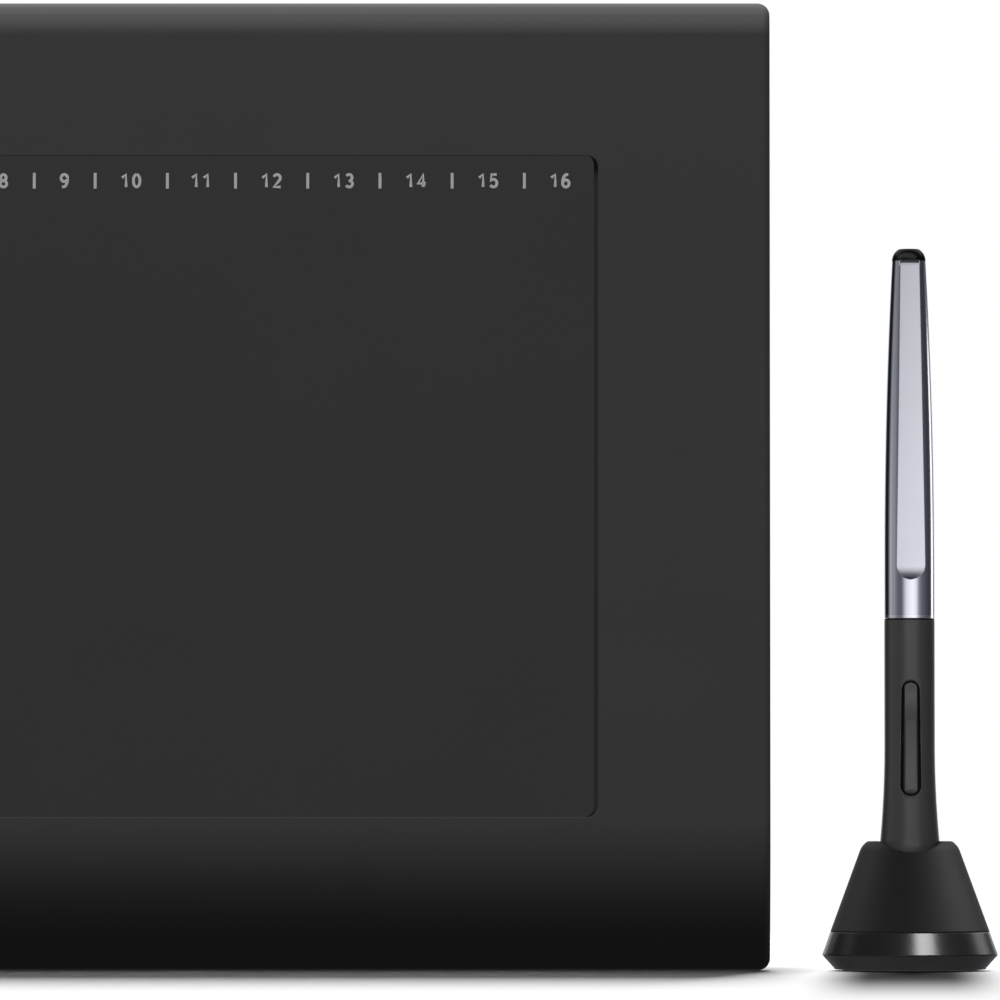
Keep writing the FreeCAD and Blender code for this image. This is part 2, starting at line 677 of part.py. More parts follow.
def make_controller_board():
    right = CONTROLLER_LEFT + CONTROLLER_WIDTH
    back = CONTROLLER_Y + BOARD_THICKNESS
    tab_left = TABLET_LEFT + SHELL_WALL + LIP_WALL
    board = block(CONTROLLER_LEFT, right, CONTROLLER_Y, back, CONTROLLER_LOW, CONTROLLER_HIGH)
    tab = block(tab_left, CONTROLLER_LEFT, CONTROLLER_Y, back, CONTROLLER_LOW,
                CONTROLLER_LOW + CONTROLLER_TAB_HEIGHT)
    parts = [tab]
    connector_low = CONTROLLER_LOW + CONNECTOR_EDGE
    connector_high = connector_low + CONNECTOR_LENGTH
    for left, right_edge, _ in (sensor_cable_place(), key_cable_place()):
        parts.append(block(left, right_edge, CONTROLLER_Y - CONNECTOR_HEIGHT, CONTROLLER_Y, connector_low,
                           connector_high))
    chip_x = CONTROLLER_LEFT + CONTROLLER_WIDTH / 2
    chip_z = (connector_high + CONTROLLER_HIGH) / 2
    for size in (LARGE_CHIP, SMALL_CHIP):
        half = size / 2
        parts.append(block(chip_x - half, chip_x + half, CONTROLLER_Y - CHIP_HEIGHT, CONTROLLER_Y,
                           chip_z - half, chip_z + half))
        chip_x += half + CHIP_GAP
    light_x, light_z = light_place()
    half = LAMP_SIZE / 2
    parts.append(block(light_x - half, light_x + half, light_end_y() + LAMP_GAP, CONTROLLER_Y,
                       light_z - half, light_z + half))
    return board.fuse(parts).removeSplitter()


def light_end_y():
    return FACE_Y + LIGHT_LENGTH


def make_status_light():
    x, z = light_place()
    pipe = rod(LIGHT_RADIUS, x, z, FACE_Y, light_end_y())
    flange = rod(LIGHT_RADIUS + LIGHT_FLANGE, x, z, INNER_FACE_Y, INNER_FACE_Y + LIGHT_FLANGE)
    return pipe.fuse(flange).removeSplitter()


def make_lead_socket():
    left = TABLET_LEFT + SOCKET_INSET
    y_low = CONTROLLER_Y - SOCKET_DEPTH
    half = SOCKET_WIDTH / 2
    can = block(left, left + SOCKET_LENGTH, y_low, CONTROLLER_Y, SOCKET_Z - half, SOCKET_Z + half)
    sheet = SOCKET_SHEET
    right = left + SOCKET_LENGTH - SOCKET_BACK
    mouth = block(left - CUT_OVER, right, y_low + sheet, CONTROLLER_Y - sheet,
                  SOCKET_Z - half + sheet, SOCKET_Z + half - sheet)
    tongue_y = CONTROLLER_Y - SOCKET_DEPTH / 2
    half_tongue = TONGUE_THICKNESS / 2
    side = sheet + TONGUE_SIDE_GAP
    tongue = block(left + TONGUE_SINK, right + CUT_OVER, tongue_y - half_tongue, tongue_y + half_tongue,
                   SOCKET_Z - half + side, SOCKET_Z + half - side)
    return can.cut(mouth).fuse(tongue).removeSplitter()


def make_key_board():
    half_width = KEY_WIDTH / 2 + KEY_BOARD_MARGIN
    low = key_places()[-1] - SWITCH_SIZE / 2 - KEY_BOARD_MARGIN
    board = block(KEY_X - half_width, KEY_X + half_width, KEY_BOARD_Y, INNER_BACK_Y, low, key_board_high())
    left, right, connector_low = key_cable_place()
    connector = block(left, right, KEY_BOARD_Y - CONNECTOR_HEIGHT, KEY_BOARD_Y, connector_low,
                      connector_low + CONNECTOR_LENGTH)
    return board.fuse(connector)


def stem_end_y():
    """Where a key's stem ends at rest, so that at full travel it just clears its switch."""
    return KEY_BOARD_Y - 2 * SWITCH_BODY - KEY_TRAVEL - KEY_REST_GAP


def make_key_switches():
    half = SWITCH_SIZE / 2
    switches = []
    for z in key_places():
        body = block(KEY_X - half, KEY_X + half, KEY_BOARD_Y - SWITCH_BODY, KEY_BOARD_Y, z - half, z + half)
        button = rod(SWITCH_BUTTON_RADIUS, KEY_X, z, KEY_BOARD_Y - 2 * SWITCH_BODY, KEY_BOARD_Y - SWITCH_BODY)
        switches.append(body.fuse(button))
    return Part.makeCompound(switches)


def make_key(z):
    half_width = KEY_WIDTH / 2
    half_height = KEY_HEIGHT / 2
    front = FACE_Y - KEY_PROUD
    ear_front = INNER_FACE_Y + KEY_REST_GAP
    cap = plate(KEY_X - half_width, KEY_X + half_width, front, ear_front, z - half_height, z + half_height,
                KEY_CORNER)
    rim = [edge for edge in cap.Edges if all(abs(vertex.Y - front) < 1e-6 for vertex in edge.Vertexes)]
    cap = cap.makeFillet(KEY_EDGE_ROUND, rim)
    ears = block(KEY_X - half_width - KEY_EAR, KEY_X + half_width + KEY_EAR, ear_front,
                 ear_front + KEY_EAR_THICKNESS, z - half_height, z + half_height)
    stem = rod(KEY_STEM_RADIUS, KEY_X, z, ear_front + KEY_EAR_THICKNESS, stem_end_y())
    return cap.fuse([ears, stem]).removeSplitter()


def sleeve_radius(height, inset):
    """Radius of the metal sleeve at a height, straight at first and then drawn in along an arc."""
    start = GRIP_TOP + SLEEVE_STRAIGHT
    if height <= start:
        return BARREL_RADIUS - inset
    drop = BARREL_RADIUS - SLEEVE_TOP_RADIUS
    bend = ((SLEEVE_TOP - start) ** 2 + drop ** 2) / (2 * drop)
    return BARREL_RADIUS - bend + math.sqrt((bend - inset) ** 2 - (height - start) ** 2)


def grip_radius(height):
    """Radius of the grip's flare at a height between its widest ring and its straight part."""
    if height >= GRIP_FLARE_HEIGHT:
        return BARREL_RADIUS
    rise = GRIP_WIDEST_RADIUS - BARREL_RADIUS
    run = GRIP_FLARE_HEIGHT - GRIP_WIDEST_HEIGHT
    bend = (run ** 2 + rise ** 2) / (2 * rise)
    return BARREL_RADIUS + bend - math.sqrt(bend ** 2 - (GRIP_FLARE_HEIGHT - height) ** 2)


def clip_slot():
    """The notch in the sleeve's top edge that the clip's leg passes through."""
    half = CLIP_TOP_WIDTH / 2 + CLIP_SLOT_SIDE_GAP
    low = CLIP_TOP - CLIP_LEG_THICKNESS - 2 * CLIP_LEG_GAP
    return block(-half, half, -BARREL_RADIUS, -cap_plug_radius() + FIT_GAP, low, SLEEVE_TOP + CUT_OVER)


def cap_plug_radius():
    return SLEEVE_TOP_RADIUS - SLEEVE_WALL - FIT_GAP


def make_pen_grip():
    flare_middle = (GRIP_WIDEST_HEIGHT + GRIP_FLARE_HEIGHT) / 2
    outline = Outline(axis_place, COLLAR_REAR_RADIUS, COLLAR_TOP)
    outline.bulge((GRIP_WIDEST_RADIUS, GRIP_WIDEST_HEIGHT), -GRIP_NOSE_BULGE)
    outline.arc((grip_radius(flare_middle), flare_middle), (BARREL_RADIUS, GRIP_FLARE_HEIGHT))
    outline.line(BARREL_RADIUS, GRIP_TOP - SEAM_CHAMFER)
    outline.line(BARREL_RADIUS - SEAM_CHAMFER, GRIP_TOP)
    outline.line(SPIGOT_RADIUS, GRIP_TOP)
    outline.line(SPIGOT_RADIUS, GRIP_TOP + SPIGOT_LENGTH)
    outline.line(SPIGOT_RADIUS - SPIGOT_WALL, GRIP_TOP + SPIGOT_LENGTH)
    outline.line(SPIGOT_RADIUS - SPIGOT_WALL, GRIP_TOP - SPIGOT_LEAD)
    outline.line(GRIP_BORE_RADIUS, GRIP_TOP - 2 * SPIGOT_LEAD)
    outline.line(GRIP_BORE_RADIUS, BORE_CONE_TOP)
    outline.line(NOSE_BORE_RADIUS, NOSE_BORE_TOP)
    outline.line(NOSE_BORE_RADIUS, COLLAR_TOP)
    slot = taper_slot(ROCKER_LOW, ROCKER_LOW_RADIUS, ROCKER_HIGH, ROCKER_HIGH_RADIUS,
                      -2 * GRIP_WIDEST_RADIUS, 0)
    return outline.spun().cut(slot)


def make_pen_sleeve():
    start = GRIP_TOP + SLEEVE_STRAIGHT
    middle = (start + SLEEVE_TOP) / 2
    wall = SLEEVE_WALL
    outline = Outline(axis_place, BARREL_RADIUS - SEAM_CHAMFER, GRIP_TOP)
    outline.line(BARREL_RADIUS, GRIP_TOP + SEAM_CHAMFER)
    outline.line(BARREL_RADIUS, start)
    outline.arc((sleeve_radius(middle, 0), middle), (SLEEVE_TOP_RADIUS, SLEEVE_TOP))
    outline.line(sleeve_radius(SLEEVE_TOP, wall), SLEEVE_TOP)
    outline.arc((sleeve_radius(middle, wall), middle), (BARREL_RADIUS - wall, start))
    outline.line(BARREL_RADIUS - wall, GRIP_TOP)
    return outline.spun().cut(clip_slot())


def make_pen_cap():
    outline = Outline(axis_place, 0, PEN_LENGTH)
    outline.line(0, SLEEVE_TOP - CAP_PLUG_LENGTH)
    outline.line(cap_plug_radius(), SLEEVE_TOP - CAP_PLUG_LENGTH)
    outline.line(cap_plug_radius(), SLEEVE_TOP)
    outline.line(SLEEVE_TOP_RADIUS, SLEEVE_TOP)
    outline.bulge((CAP_TOP_RADIUS, PEN_LENGTH), -CAP_BULGE)
    return outline.spun()


def make_pen_clip():
    """A spring strip that leans away from the sleeve and turns in at its round end."""
    tip_low = CLIP_TOP - CLIP_LENGTH
    turn = tip_low + CLIP_TURN_LENGTH
    thick = CLIP_THICKNESS
    leg = CLIP_LEG_THICKNESS
    back_top = -sleeve_radius(CLIP_TOP, 0) - CLIP_TOP_GAP
    back_low = -sleeve_radius(turn, 0) - CLIP_LOW_GAP
    tip_y = -sleeve_radius(tip_low, 0) - CLIP_TIP_GAP
    outline = Outline(side_place, -cap_plug_radius() - CLIP_TOP_GAP, CLIP_TOP)
    outline.line(back_top - thick, CLIP_TOP)
    outline.bulge((back_low - thick, turn), -CLIP_BULGE)
    outline.bulge((tip_y - CLIP_TIP_CHAMFER, tip_low), CLIP_TURN_BULGE)
    outline.line(tip_y, tip_low + CLIP_TIP_CHAMFER)
    outline.bulge((back_low, turn), -CLIP_TURN_ROUND)
    outline.bulge((back_top, CLIP_TOP - leg), CLIP_BULGE)
    outline.line(-cap_plug_radius() - CLIP_TOP_GAP, CLIP_TOP - leg)
    half = 2 * CLIP_LOW_RADIUS
    band = outline.face().extrude(Vector(2 * half, 0, 0))
    band.translate(Vector(-half, 0, 0))
    top_radius = CLIP_TOP_WIDTH / 2
    shape = taper_slot(tip_low, CLIP_LOW_RADIUS, CLIP_TOP + top_radius, top_radius,
                       back_low - 2 * thick, 0)
    return band.common(shape)


def make_rocker_button():
    """A rocking button with a raised ridge along its lower part and a scoop at its top."""
    low = ROCKER_LOW + ROCKER_GAP
    high = ROCKER_HIGH - ROCKER_GAP
    ridge_y = -grip_radius(ROCKER_LOW) - ROCKER_PROUD
    skin_y = -BARREL_RADIUS - ROCKER_SKIN_PROUD
    inside_y = -BARREL_RADIUS + ROCKER_INSIDE
    scoop = high - ROCKER_SCOOP_LENGTH
    outline = Outline(side_place, inside_y, low)
    outline.line(skin_y, low)
    outline.bulge((ridge_y, low + ROCKER_LOW_RADIUS), ROCKER_LOW_BULGE)
    outline.line(ridge_y, scoop - ROCKER_HIGH_RADIUS)
    outline.bulge((skin_y, high), -ROCKER_SCOOP_DEPTH)
    outline.line(inside_y, high)
    half = ROCKER_LOW_RADIUS
    side = outline.face().extrude(Vector(2 * half, 0, 0))
    side.translate(Vector(-half, 0, 0))
    front = taper_slot(low, ROCKER_LOW_RADIUS - ROCKER_GAP, high, ROCKER_HIGH_RADIUS - ROCKER_GAP,
                       ridge_y - CUT_OVER, inside_y)
    roof = Part.makeLoft([rocker_roof(ROCKER_RIDGE_LOW_WIDTH / 2, low),
                          rocker_roof(ROCKER_RIDGE_HIGH_WIDTH / 2, high)], True, True)
    body = side.common(front).common(roof)
    hub = pivot_rod(HUB_RADIUS, HUB_WIDTH / 2)
    neck = block(-HUB_WIDTH / 2, HUB_WIDTH / 2, inside_y, -PIVOT_DEPTH, ROCKER_MIDDLE - HUB_RADIUS,
                 ROCKER_MIDDLE + HUB_RADIUS)
    hole = pivot_rod(PIVOT_RADIUS + PIVOT_GAP, HUB_WIDTH)
    return body.fuse([hub, neck]).cut(hole).removeSplitter()


def rocker_roof(ridge, height):
    """Cross-section that gives the rocker its flat ridge and its sloping flanks, at a height."""
    ridge_y = -grip_radius(ROCKER_LOW) - ROCKER_PROUD
    flank_y = ridge_y + ROCKER_FLANK
    inside_y = -BARREL_RADIUS + ROCKER_INSIDE
    half = ridge + ROCKER_FLANK_WIDTH
    side = [Vector(ridge, ridge_y, height), Vector(half, flank_y, height), Vector(half, inside_y, height)]
    other = [Vector(-corner.x, corner.y, corner.z) for corner in reversed(side)]
    return Part.makePolygon(side + other + side[:1])


def pivot_rod(radius, reach):
    """A round rod on the rocker's pivot, reaching as far to each side of the pen's middle."""
    return Part.makeCylinder(radius, 2 * reach, Vector(-reach, -PIVOT_DEPTH, ROCKER_MIDDLE), Vector(1, 0, 0))


def ear_reach():
    """How far each ear, and the pin in it, stands from the middle of the pen."""
    return HUB_WIDTH / 2 + EAR_GAP + EAR_WALL


def make_rocker_pin():
    return pivot_rod(PIVOT_RADIUS, ear_reach())


def make_pen_chassis():
    """A half tube under the board, with a nose for the pressure sensor and two ears for the pin."""
    high = CHASSIS_LOW + CHASSIS_LENGTH
    rear_low = CHASSIS_LOW + CHASSIS_NOSE + PRESSURE_LENGTH
    bar = column(CHASSIS_RADIUS, CHASSIS_LOW, high)
    hollow = column(CHASSIS_RADIUS - CHASSIS_WALL, rear_low + SENSOR_WALL, high + CUT_OVER)
    wide = 2 * BARREL_RADIUS
    front = block(-wide, wide, -wide, -PEN_BOARD_SINK, rear_low, high + CUT_OVER)
    seat = column(PRESSURE_RADIUS + FIT_GAP, CHASSIS_LOW + CHASSIS_NOSE, rear_low + SENSOR_WALL)
    bore = column(NIB_RADIUS + NIB_GAP, CHASSIS_LOW - CUT_OVER, rear_low)
    body = bar.cut([hollow, front, seat, bore])
    reach = ear_reach()
    ear_low = ROCKER_MIDDLE - EAR_LENGTH / 2
    ear_high = ROCKER_MIDDLE + EAR_LENGTH / 2
    left_ear = block(-reach, EAR_WALL - reach, -CHASSIS_RADIUS, 0, ear_low, ear_high)
    right_ear = block(reach - EAR_WALL, reach, -CHASSIS_RADIUS, 0, ear_low, ear_high)
    web = block(-CHASSIS_RADIUS, CHASSIS_RADIUS, -PEN_BOARD_SINK, CHASSIS_RADIUS, ear_low, ear_high)
    ears = left_ear.fuse([right_ear, web]).common(column(CHASSIS_RADIUS, 0, PEN_LENGTH))
    return body.fuse(ears).cut(pivot_rod(PIVOT_RADIUS, reach)).removeSplitter()


def make_pen_board():
    """The circuit board, notched where the rocker's ears pass it."""
    half = math.sqrt(CHASSIS_RADIUS ** 2 - (PEN_BOARD_SINK + PEN_BOARD_DEPTH) ** 2) - FIT_GAP
    low = CHASSIS_LOW + CHASSIS_NOSE + PRESSURE_LENGTH + SENSOR_WALL
    board = block(-half, half, -PEN_BOARD_SINK - PEN_BOARD_DEPTH, -PEN_BOARD_SINK, low,
                  low + PEN_BOARD_LENGTH)
    inner = ear_reach() - EAR_WALL - FIT_GAP
    outer = half + CUT_OVER
    notch_low = ROCKER_MIDDLE - EAR_LENGTH / 2 - FIT_GAP
    notch_high = ROCKER_MIDDLE + EAR_LENGTH / 2 + FIT_GAP
    notches = [block(inner, outer, -CHASSIS_RADIUS, 0, notch_low, notch_high),
               block(-outer, -inner, -CHASSIS_RADIUS, 0, notch_low, notch_high)]
    return board.cut(notches)


def make_side_switches():
    """Two small switches under the ends of the rocker, each one swing short of it."""
    inside_y = -BARREL_RADIUS + ROCKER_INSIDE
    board_y = -PEN_BOARD_SINK - PEN_BOARD_DEPTH
    swing = math.sin(math.radians(ROCKER_SWING)) * (SIDE_SWITCH_REACH + SIDE_SWITCH_LENGTH)
    top_y = inside_y + swing + FIT_GAP
    body_y = top_y + SIDE_SWITCH_BUTTON_HEIGHT
    half = SIDE_SWITCH_WIDTH / 2
    switches = []
    for z in (ROCKER_MIDDLE - SIDE_SWITCH_REACH, ROCKER_MIDDLE + SIDE_SWITCH_REACH):
        body = block(-half, half, body_y, board_y, z - SIDE_SWITCH_LENGTH / 2, z + SIDE_SWITCH_LENGTH / 2)
        switches.append(body.fuse(rod(SIDE_SWITCH_BUTTON, 0, z, top_y, body_y)))
    return Part.makeCompound(switches)


def make_pressure_sensor():
    low = CHASSIS_LOW + CHASSIS_NOSE
    return column(PRESSURE_RADIUS, low, low + PRESSURE_LENGTH)


def make_nib():
    """The nib, which ends its travel short of the pressure sensor."""
    length = CHASSIS_LOW + CHASSIS_NOSE - NIB_TRAVEL - FIT_GAP
    outline = Outline(axis_place, 0, 0)
    outline.bulge((NIB_RADIUS, NIB_RADIUS), -NIB_RADIUS * (1 - math.sqrt(0.5)))
    outline.line(NIB_RADIUS, length)
    outline.line(0, length)
    return outline.spun()


def make_nib_collar():
    seat = FERRITE_RADIUS + FIT_GAP
    seat_low = COLLAR_TOP - COLLAR_SEAT_DEPTH
    outline = Outline(axis_place, NIB_RADIUS + NIB_GAP, NIB_SHOWING)
    outline.line(COLLAR_FRONT_RADIUS, NIB_SHOWING)
    outline.bulge((COLLAR_REAR_RADIUS, COLLAR_TOP), -COLLAR_BULGE)
    outline.line(NOSE_BORE_RADIUS - FIT_GAP, COLLAR_TOP)
    outline.line(NOSE_BORE_RADIUS - FIT_GAP, COLLAR_TOP + COLLAR_SPIGOT_LENGTH)
    outline.line(seat, COLLAR_TOP + COLLAR_SPIGOT_LENGTH)
    outline.line(seat, seat_low)
    outline.line(NIB_RADIUS + NIB_GAP, seat_low)
    return outline.spun()


def make_ferrite_core():
    low = COLLAR_TOP - COLLAR_SEAT_DEPTH
    bore = column(NIB_RADIUS + NIB_GAP, low - CUT_OVER, CHASSIS_LOW + CUT_OVER)
    return column(FERRITE_RADIUS, low, CHASSIS_LOW).cut(bore)


def make_antenna_coil():
    low = COLLAR_TOP + COLLAR_SPIGOT_LENGTH + FIT_GAP
    high = min(low + COIL_LENGTH, CHASSIS_LOW)
    return column(COIL_RADIUS, low, high).cut(column(FERRITE_RADIUS, low - CUT_OVER, high + CUT_OVER))


def cone_radius(height):
    """Radius of the stand's outer slope at a height."""
    run = STAND_HEIGHT - SHOULDER_DROP - STAND_CHAMFER_HEIGHT
    return STAND_RADIUS - (height - STAND_CHAMFER_HEIGHT) * (STAND_RADIUS - SHOULDER_RADIUS) / run


def socket_outline(outline, clearance):
    """The socket's wall from its well up, which follows the pen's collar and nose at a clearance."""
    slope = (COLLAR_REAR_RADIUS - COLLAR_FRONT_RADIUS) / COLLAR_LENGTH
    seat_z = PEN_REST_HEIGHT + COLLAR_TOP
    seat_radius = COLLAR_REAR_RADIUS + clearance
    well_top = seat_z - (COLLAR_REAR_RADIUS + SOCKET_GAP - WELL_RADIUS) / slope
    widest = (GRIP_WIDEST_RADIUS + clearance, PEN_REST_HEIGHT + GRIP_WIDEST_HEIGHT)
    outline.line(WELL_RADIUS + clearance - SOCKET_GAP, well_top)
    outline.line(seat_radius, seat_z)
    outline.bulge(widest, -GRIP_NOSE_BULGE)


def base_spigot_radius():
    return cone_radius(RING_TOP) - BASE_SPIGOT_INSET


def make_stand_cone():
    """The stand's upper piece: a hollow cone round a socket, with a saddle across its top."""
    shoulder_z = STAND_HEIGHT - SHOULDER_DROP
    outer = Outline(axis_place, 0, RING_TOP)
    outer.line(cone_radius(RING_TOP), RING_TOP)
    outer.line(SHOULDER_RADIUS, shoulder_z)
    outer.bulge((STAND_TOP_RADIUS, STAND_HEIGHT), -SHOULDER_BULGE)
    outer.line(0, STAND_HEIGHT)
    tube_low = tray_top() + PULLER_THICKNESS + WELL_DROP
    tube = column(WELL_RADIUS + TUBE_WALL, tube_low, shoulder_z)
    spigot = base_spigot_radius() + FIT_GAP
    step_z = RING_TOP + BASE_SPIGOT_HEIGHT + FIT_GAP
    roof_z = STAND_HEIGHT - CONE_ROOF_DROP
    room = Outline(axis_place, 0, RING_TOP - CUT_OVER)
    room.line(spigot, RING_TOP - CUT_OVER)
    room.line(spigot, step_z)
    room.line(cone_radius(step_z) - STAND_WALL, step_z)
    room.line(cone_radius(roof_z) - STAND_WALL, roof_z)
    room.line(0, roof_z)
    core = Outline(axis_place, 0, tube_low)
    core.line(WELL_RADIUS + TUBE_WALL, tube_low)
    socket_outline(core, SOCKET_GAP + TUBE_WALL)
    core.line(GRIP_WIDEST_RADIUS + SOCKET_GAP + TUBE_WALL, STAND_HEIGHT)
    core.line(0, STAND_HEIGHT)
    hole = Outline(axis_place, 0, tube_low - CUT_OVER)
    hole.line(WELL_RADIUS, tube_low - CUT_OVER)
    socket_outline(hole, SOCKET_GAP)
    hole.line(GRIP_WIDEST_RADIUS + SOCKET_GAP, STAND_HEIGHT + CUT_OVER)
    hole.line(0, STAND_HEIGHT + CUT_OVER)
    saddle_z = STAND_HEIGHT - SADDLE_DEPTH + SADDLE_RADIUS
    saddle = rod(SADDLE_RADIUS, 0, saddle_z, -STAND_RADIUS, STAND_RADIUS)
    shell = outer.spun().cut(room.spun().cut(core.spun()))
    return shell.fuse(tube).cut([hole.spun(), saddle]).removeSplitter()


def make_stand_ring():
    low = STAND_CHAMFER_HEIGHT
    edge = RING_EDGE
    inner = base_spigot_radius() + FIT_GAP / 2
    outline = Outline(axis_place, inner, low)
    outline.line(cone_radius(low) - edge, low)
    outline.line(cone_radius(low + edge), low + edge)
    outline.line(cone_radius(RING_TOP - edge), RING_TOP - edge)
    outline.line(cone_radius(RING_TOP) - edge, RING_TOP)
    outline.line(inner, RING_TOP)
    return outline.spun()


def base_inner_radius():
    return base_spigot_radius() - BASE_WALL


def make_stand_base():
    """A cup with a chamfered foot, a spigot that the cone fits over and a recess for the pad."""
    spigot = base_spigot_radius()
    outline = Outline(axis_place, 0, PAD_THICKNESS)
    outline.line(PAD_RADIUS + FIT_GAP, PAD_THICKNESS)
    outline.line(PAD_RADIUS + FIT_GAP, BASE_LIFT)
    outline.line(STAND_FOOT_RADIUS - FOOT_ROUND, BASE_LIFT)
    outline.bulge((STAND_FOOT_RADIUS, BASE_LIFT + FOOT_ROUND), -FOOT_ROUND_BULGE)
    outline.line(STAND_RADIUS, STAND_CHAMFER_HEIGHT)
    outline.line(spigot, STAND_CHAMFER_HEIGHT)
    outline.line(spigot, RING_TOP + BASE_SPIGOT_HEIGHT)
    outline.line(base_inner_radius(), RING_TOP + BASE_SPIGOT_HEIGHT)
    outline.line(base_inner_radius(), PAD_THICKNESS + BASE_FLOOR)
    outline.line(0, PAD_THICKNESS + BASE_FLOOR)
    return outline.spun()


def make_stand_pad():
    return column(PAD_RADIUS, 0, PAD_THICKNESS)


def weight_top():
    return PAD_THICKNESS + BASE_FLOOR + WEIGHT_HEIGHT


def tray_top():
    return weight_top() + TRAY_FLOOR


def make_stand_weight():
    return column(base_inner_radius() - FIT_GAP, PAD_THICKNESS + BASE_FLOOR, weight_top())


def nib_spots():
    return [Vector(NIB_CIRCLE_RADIUS * math.cos(turn), NIB_CIRCLE_RADIUS * math.sin(turn), 0)
            for turn in (2 * math.pi * number / SPARE_NIBS for number in range(SPARE_NIBS))]


def make_nib_tray():
    """A disc on the weight, with a raised ring that holds the spare nibs upright."""
    outer = base_inner_radius() - FIT_GAP
    top = tray_top()
    ring_low = NIB_CIRCLE_RADIUS - TRAY_RIM_WIDTH / 2
    ring_high = NIB_CIRCLE_RADIUS + TRAY_RIM_WIDTH / 2
    disc = column(outer, weight_top(), top)
    rim_top = top + TRAY_RIM_HEIGHT
    ring = column(ring_high, top, rim_top).cut(column(ring_low, top - CUT_OVER, rim_top + CUT_OVER))
    tray = disc.fuse(ring).removeSplitter()
    holes = []
    for spot in nib_spots():
        hole = column(NIB_RADIUS + FIT_GAP, top, rim_top + CUT_OVER)
        hole.translate(spot)
        holes.append(hole)
    return tray.cut(holes)


def make_spare_nibs():
    nibs = []
    for spot in nib_spots():
        nib = column(NIB_RADIUS, tray_top(), tray_top() + SPARE_NIB_LENGTH)
        rim = [edge for edge in nib.Edges if abs(edge.BoundBox.ZMin - tray_top() - SPARE_NIB_LENGTH) < 1e-6]
        nib = nib.makeFillet(SPARE_NIB_ROUND, rim)
        nib.translate(spot)
        nibs.append(nib)
    return Part.makeCompound(nibs)


def make_nib_puller():
    low = tray_top()
    top = low + PULLER_THICKNESS
    hole = column(NIB_RADIUS + FIT_GAP, low - CUT_OVER, top + CUT_OVER)
    return column(PULLER_RADIUS, low, top).cut(hole)


def tablet_parts():
    outside = case_outside()
    cavity = case_cavity()
    inset = SENSOR_MARGIN
    parts = {
        "front_shell": make_front_shell(outside, cavity),
        "back_shell": make_back_shell(outside, cavity),
        "drawing_sheet": make_sheet(),
        "sensor_board": make_sensor_board(),
        "shield_plate": block(SHEET_LEFT + inset, SHEET_RIGHT - inset, SENSOR_BACK_Y, SHIELD_BACK_Y,
                              SHEET_LOW + inset, SHEET_HIGH - inset),
        "foam_pad": block(SHEET_LEFT + 2 * inset, SHEET_RIGHT - 2 * inset, SHIELD_BACK_Y, FOAM_BACK_Y,
                          SHEET_LOW + 2 * inset, SHEET_HIGH - 2 * inset),
        "sensor_cable": make_sensor_cable(),
        "key_cable": make_key_cable(),
        "key_board": make_key_board(),
        "key_switches": make_key_switches(),
        "controller_board": make_controller_board(),
        "lead_socket": make_lead_socket(),
        "status_light": make_status_light(),
        "case_screws": make_screws(),
        "rubber_feet": make_feet(),
    }
    for number, z in enumerate(key_places(), start=1):
        parts["press_key_%02d" % number] = make_key(z)
    return parts


def pen_parts():
    return {
        "pen_grip": make_pen_grip(),
        "pen_sleeve": make_pen_sleeve(),
        "pen_cap": make_pen_cap(),
        "pen_clip": make_pen_clip(),
        "rocker_button": make_rocker_button(),
        "rocker_pin": make_rocker_pin(),
        "pen_chassis": make_pen_chassis(),
        "pen_board": make_pen_board(),
        "side_switches": make_side_switches(),
        "pressure_sensor": make_pressure_sensor(),
        "pen_nib": make_nib(),
        "nib_collar": make_nib_collar(),
        "ferrite_core": make_ferrite_core(),
        "antenna_coil": make_antenna_coil(),
    }


def stand_parts():
    return {
        "stand_cone": make_stand_cone(),
        "stand_ring": make_stand_ring(),
        "stand_base": make_stand_base(),
        "stand_pad": make_stand_pad(),
        "stand_weight": make_stand_weight(),
        "nib_tray": make_nib_tray(),
        "spare_nibs": make_spare_nibs(),
        "nib_puller": make_nib_puller(),
    }


def main():
    os.makedirs("parts", exist_ok=True)
    groups = (
        (tablet_parts(), Vector(0, 0, 0)),
        (pen_parts(), Vector(STAND_X, 0, PEN_REST_HEIGHT)),
        (stand_parts(), Vector(STAND_X, 0, 0)),
    )
    for parts, place in groups:
        for name, shape in parts.items():
            shape.translate(place)
            shape.exportStep("parts/" + name + ".step")
            box = shape.BoundBox
            print("%-18s solids %2d valid %s faces %4d volume %10.2f  x %.2f %.2f y %.2f %.2f z %.2f %.2f" % (
                name, len(shape.Solids), shape.isValid(), len(shape.Faces), shape.Volume,
                box.XMin, box.XMax, box.YMin, box.YMax, box.ZMin, box.ZMax))


main()
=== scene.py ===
"""A pen tablet on its lower long edge, beside its pen upright in a conical stand.

Metres, in the CAD model's frame: +X is right, +Z is up and the drawing face looks towards -Y.
Sizes in the code are millimetres, times MM.
"""
import bpy
import bmesh
import math
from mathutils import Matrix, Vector


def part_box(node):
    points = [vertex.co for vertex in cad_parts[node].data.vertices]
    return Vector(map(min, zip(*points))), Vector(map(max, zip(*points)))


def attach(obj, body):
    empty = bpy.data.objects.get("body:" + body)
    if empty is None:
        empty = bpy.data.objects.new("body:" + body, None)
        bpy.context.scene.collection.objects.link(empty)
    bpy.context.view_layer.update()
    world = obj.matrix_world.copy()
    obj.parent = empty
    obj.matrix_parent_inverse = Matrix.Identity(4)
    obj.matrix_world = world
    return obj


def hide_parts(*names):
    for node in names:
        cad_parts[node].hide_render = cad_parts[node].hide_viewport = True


MM = 0.001
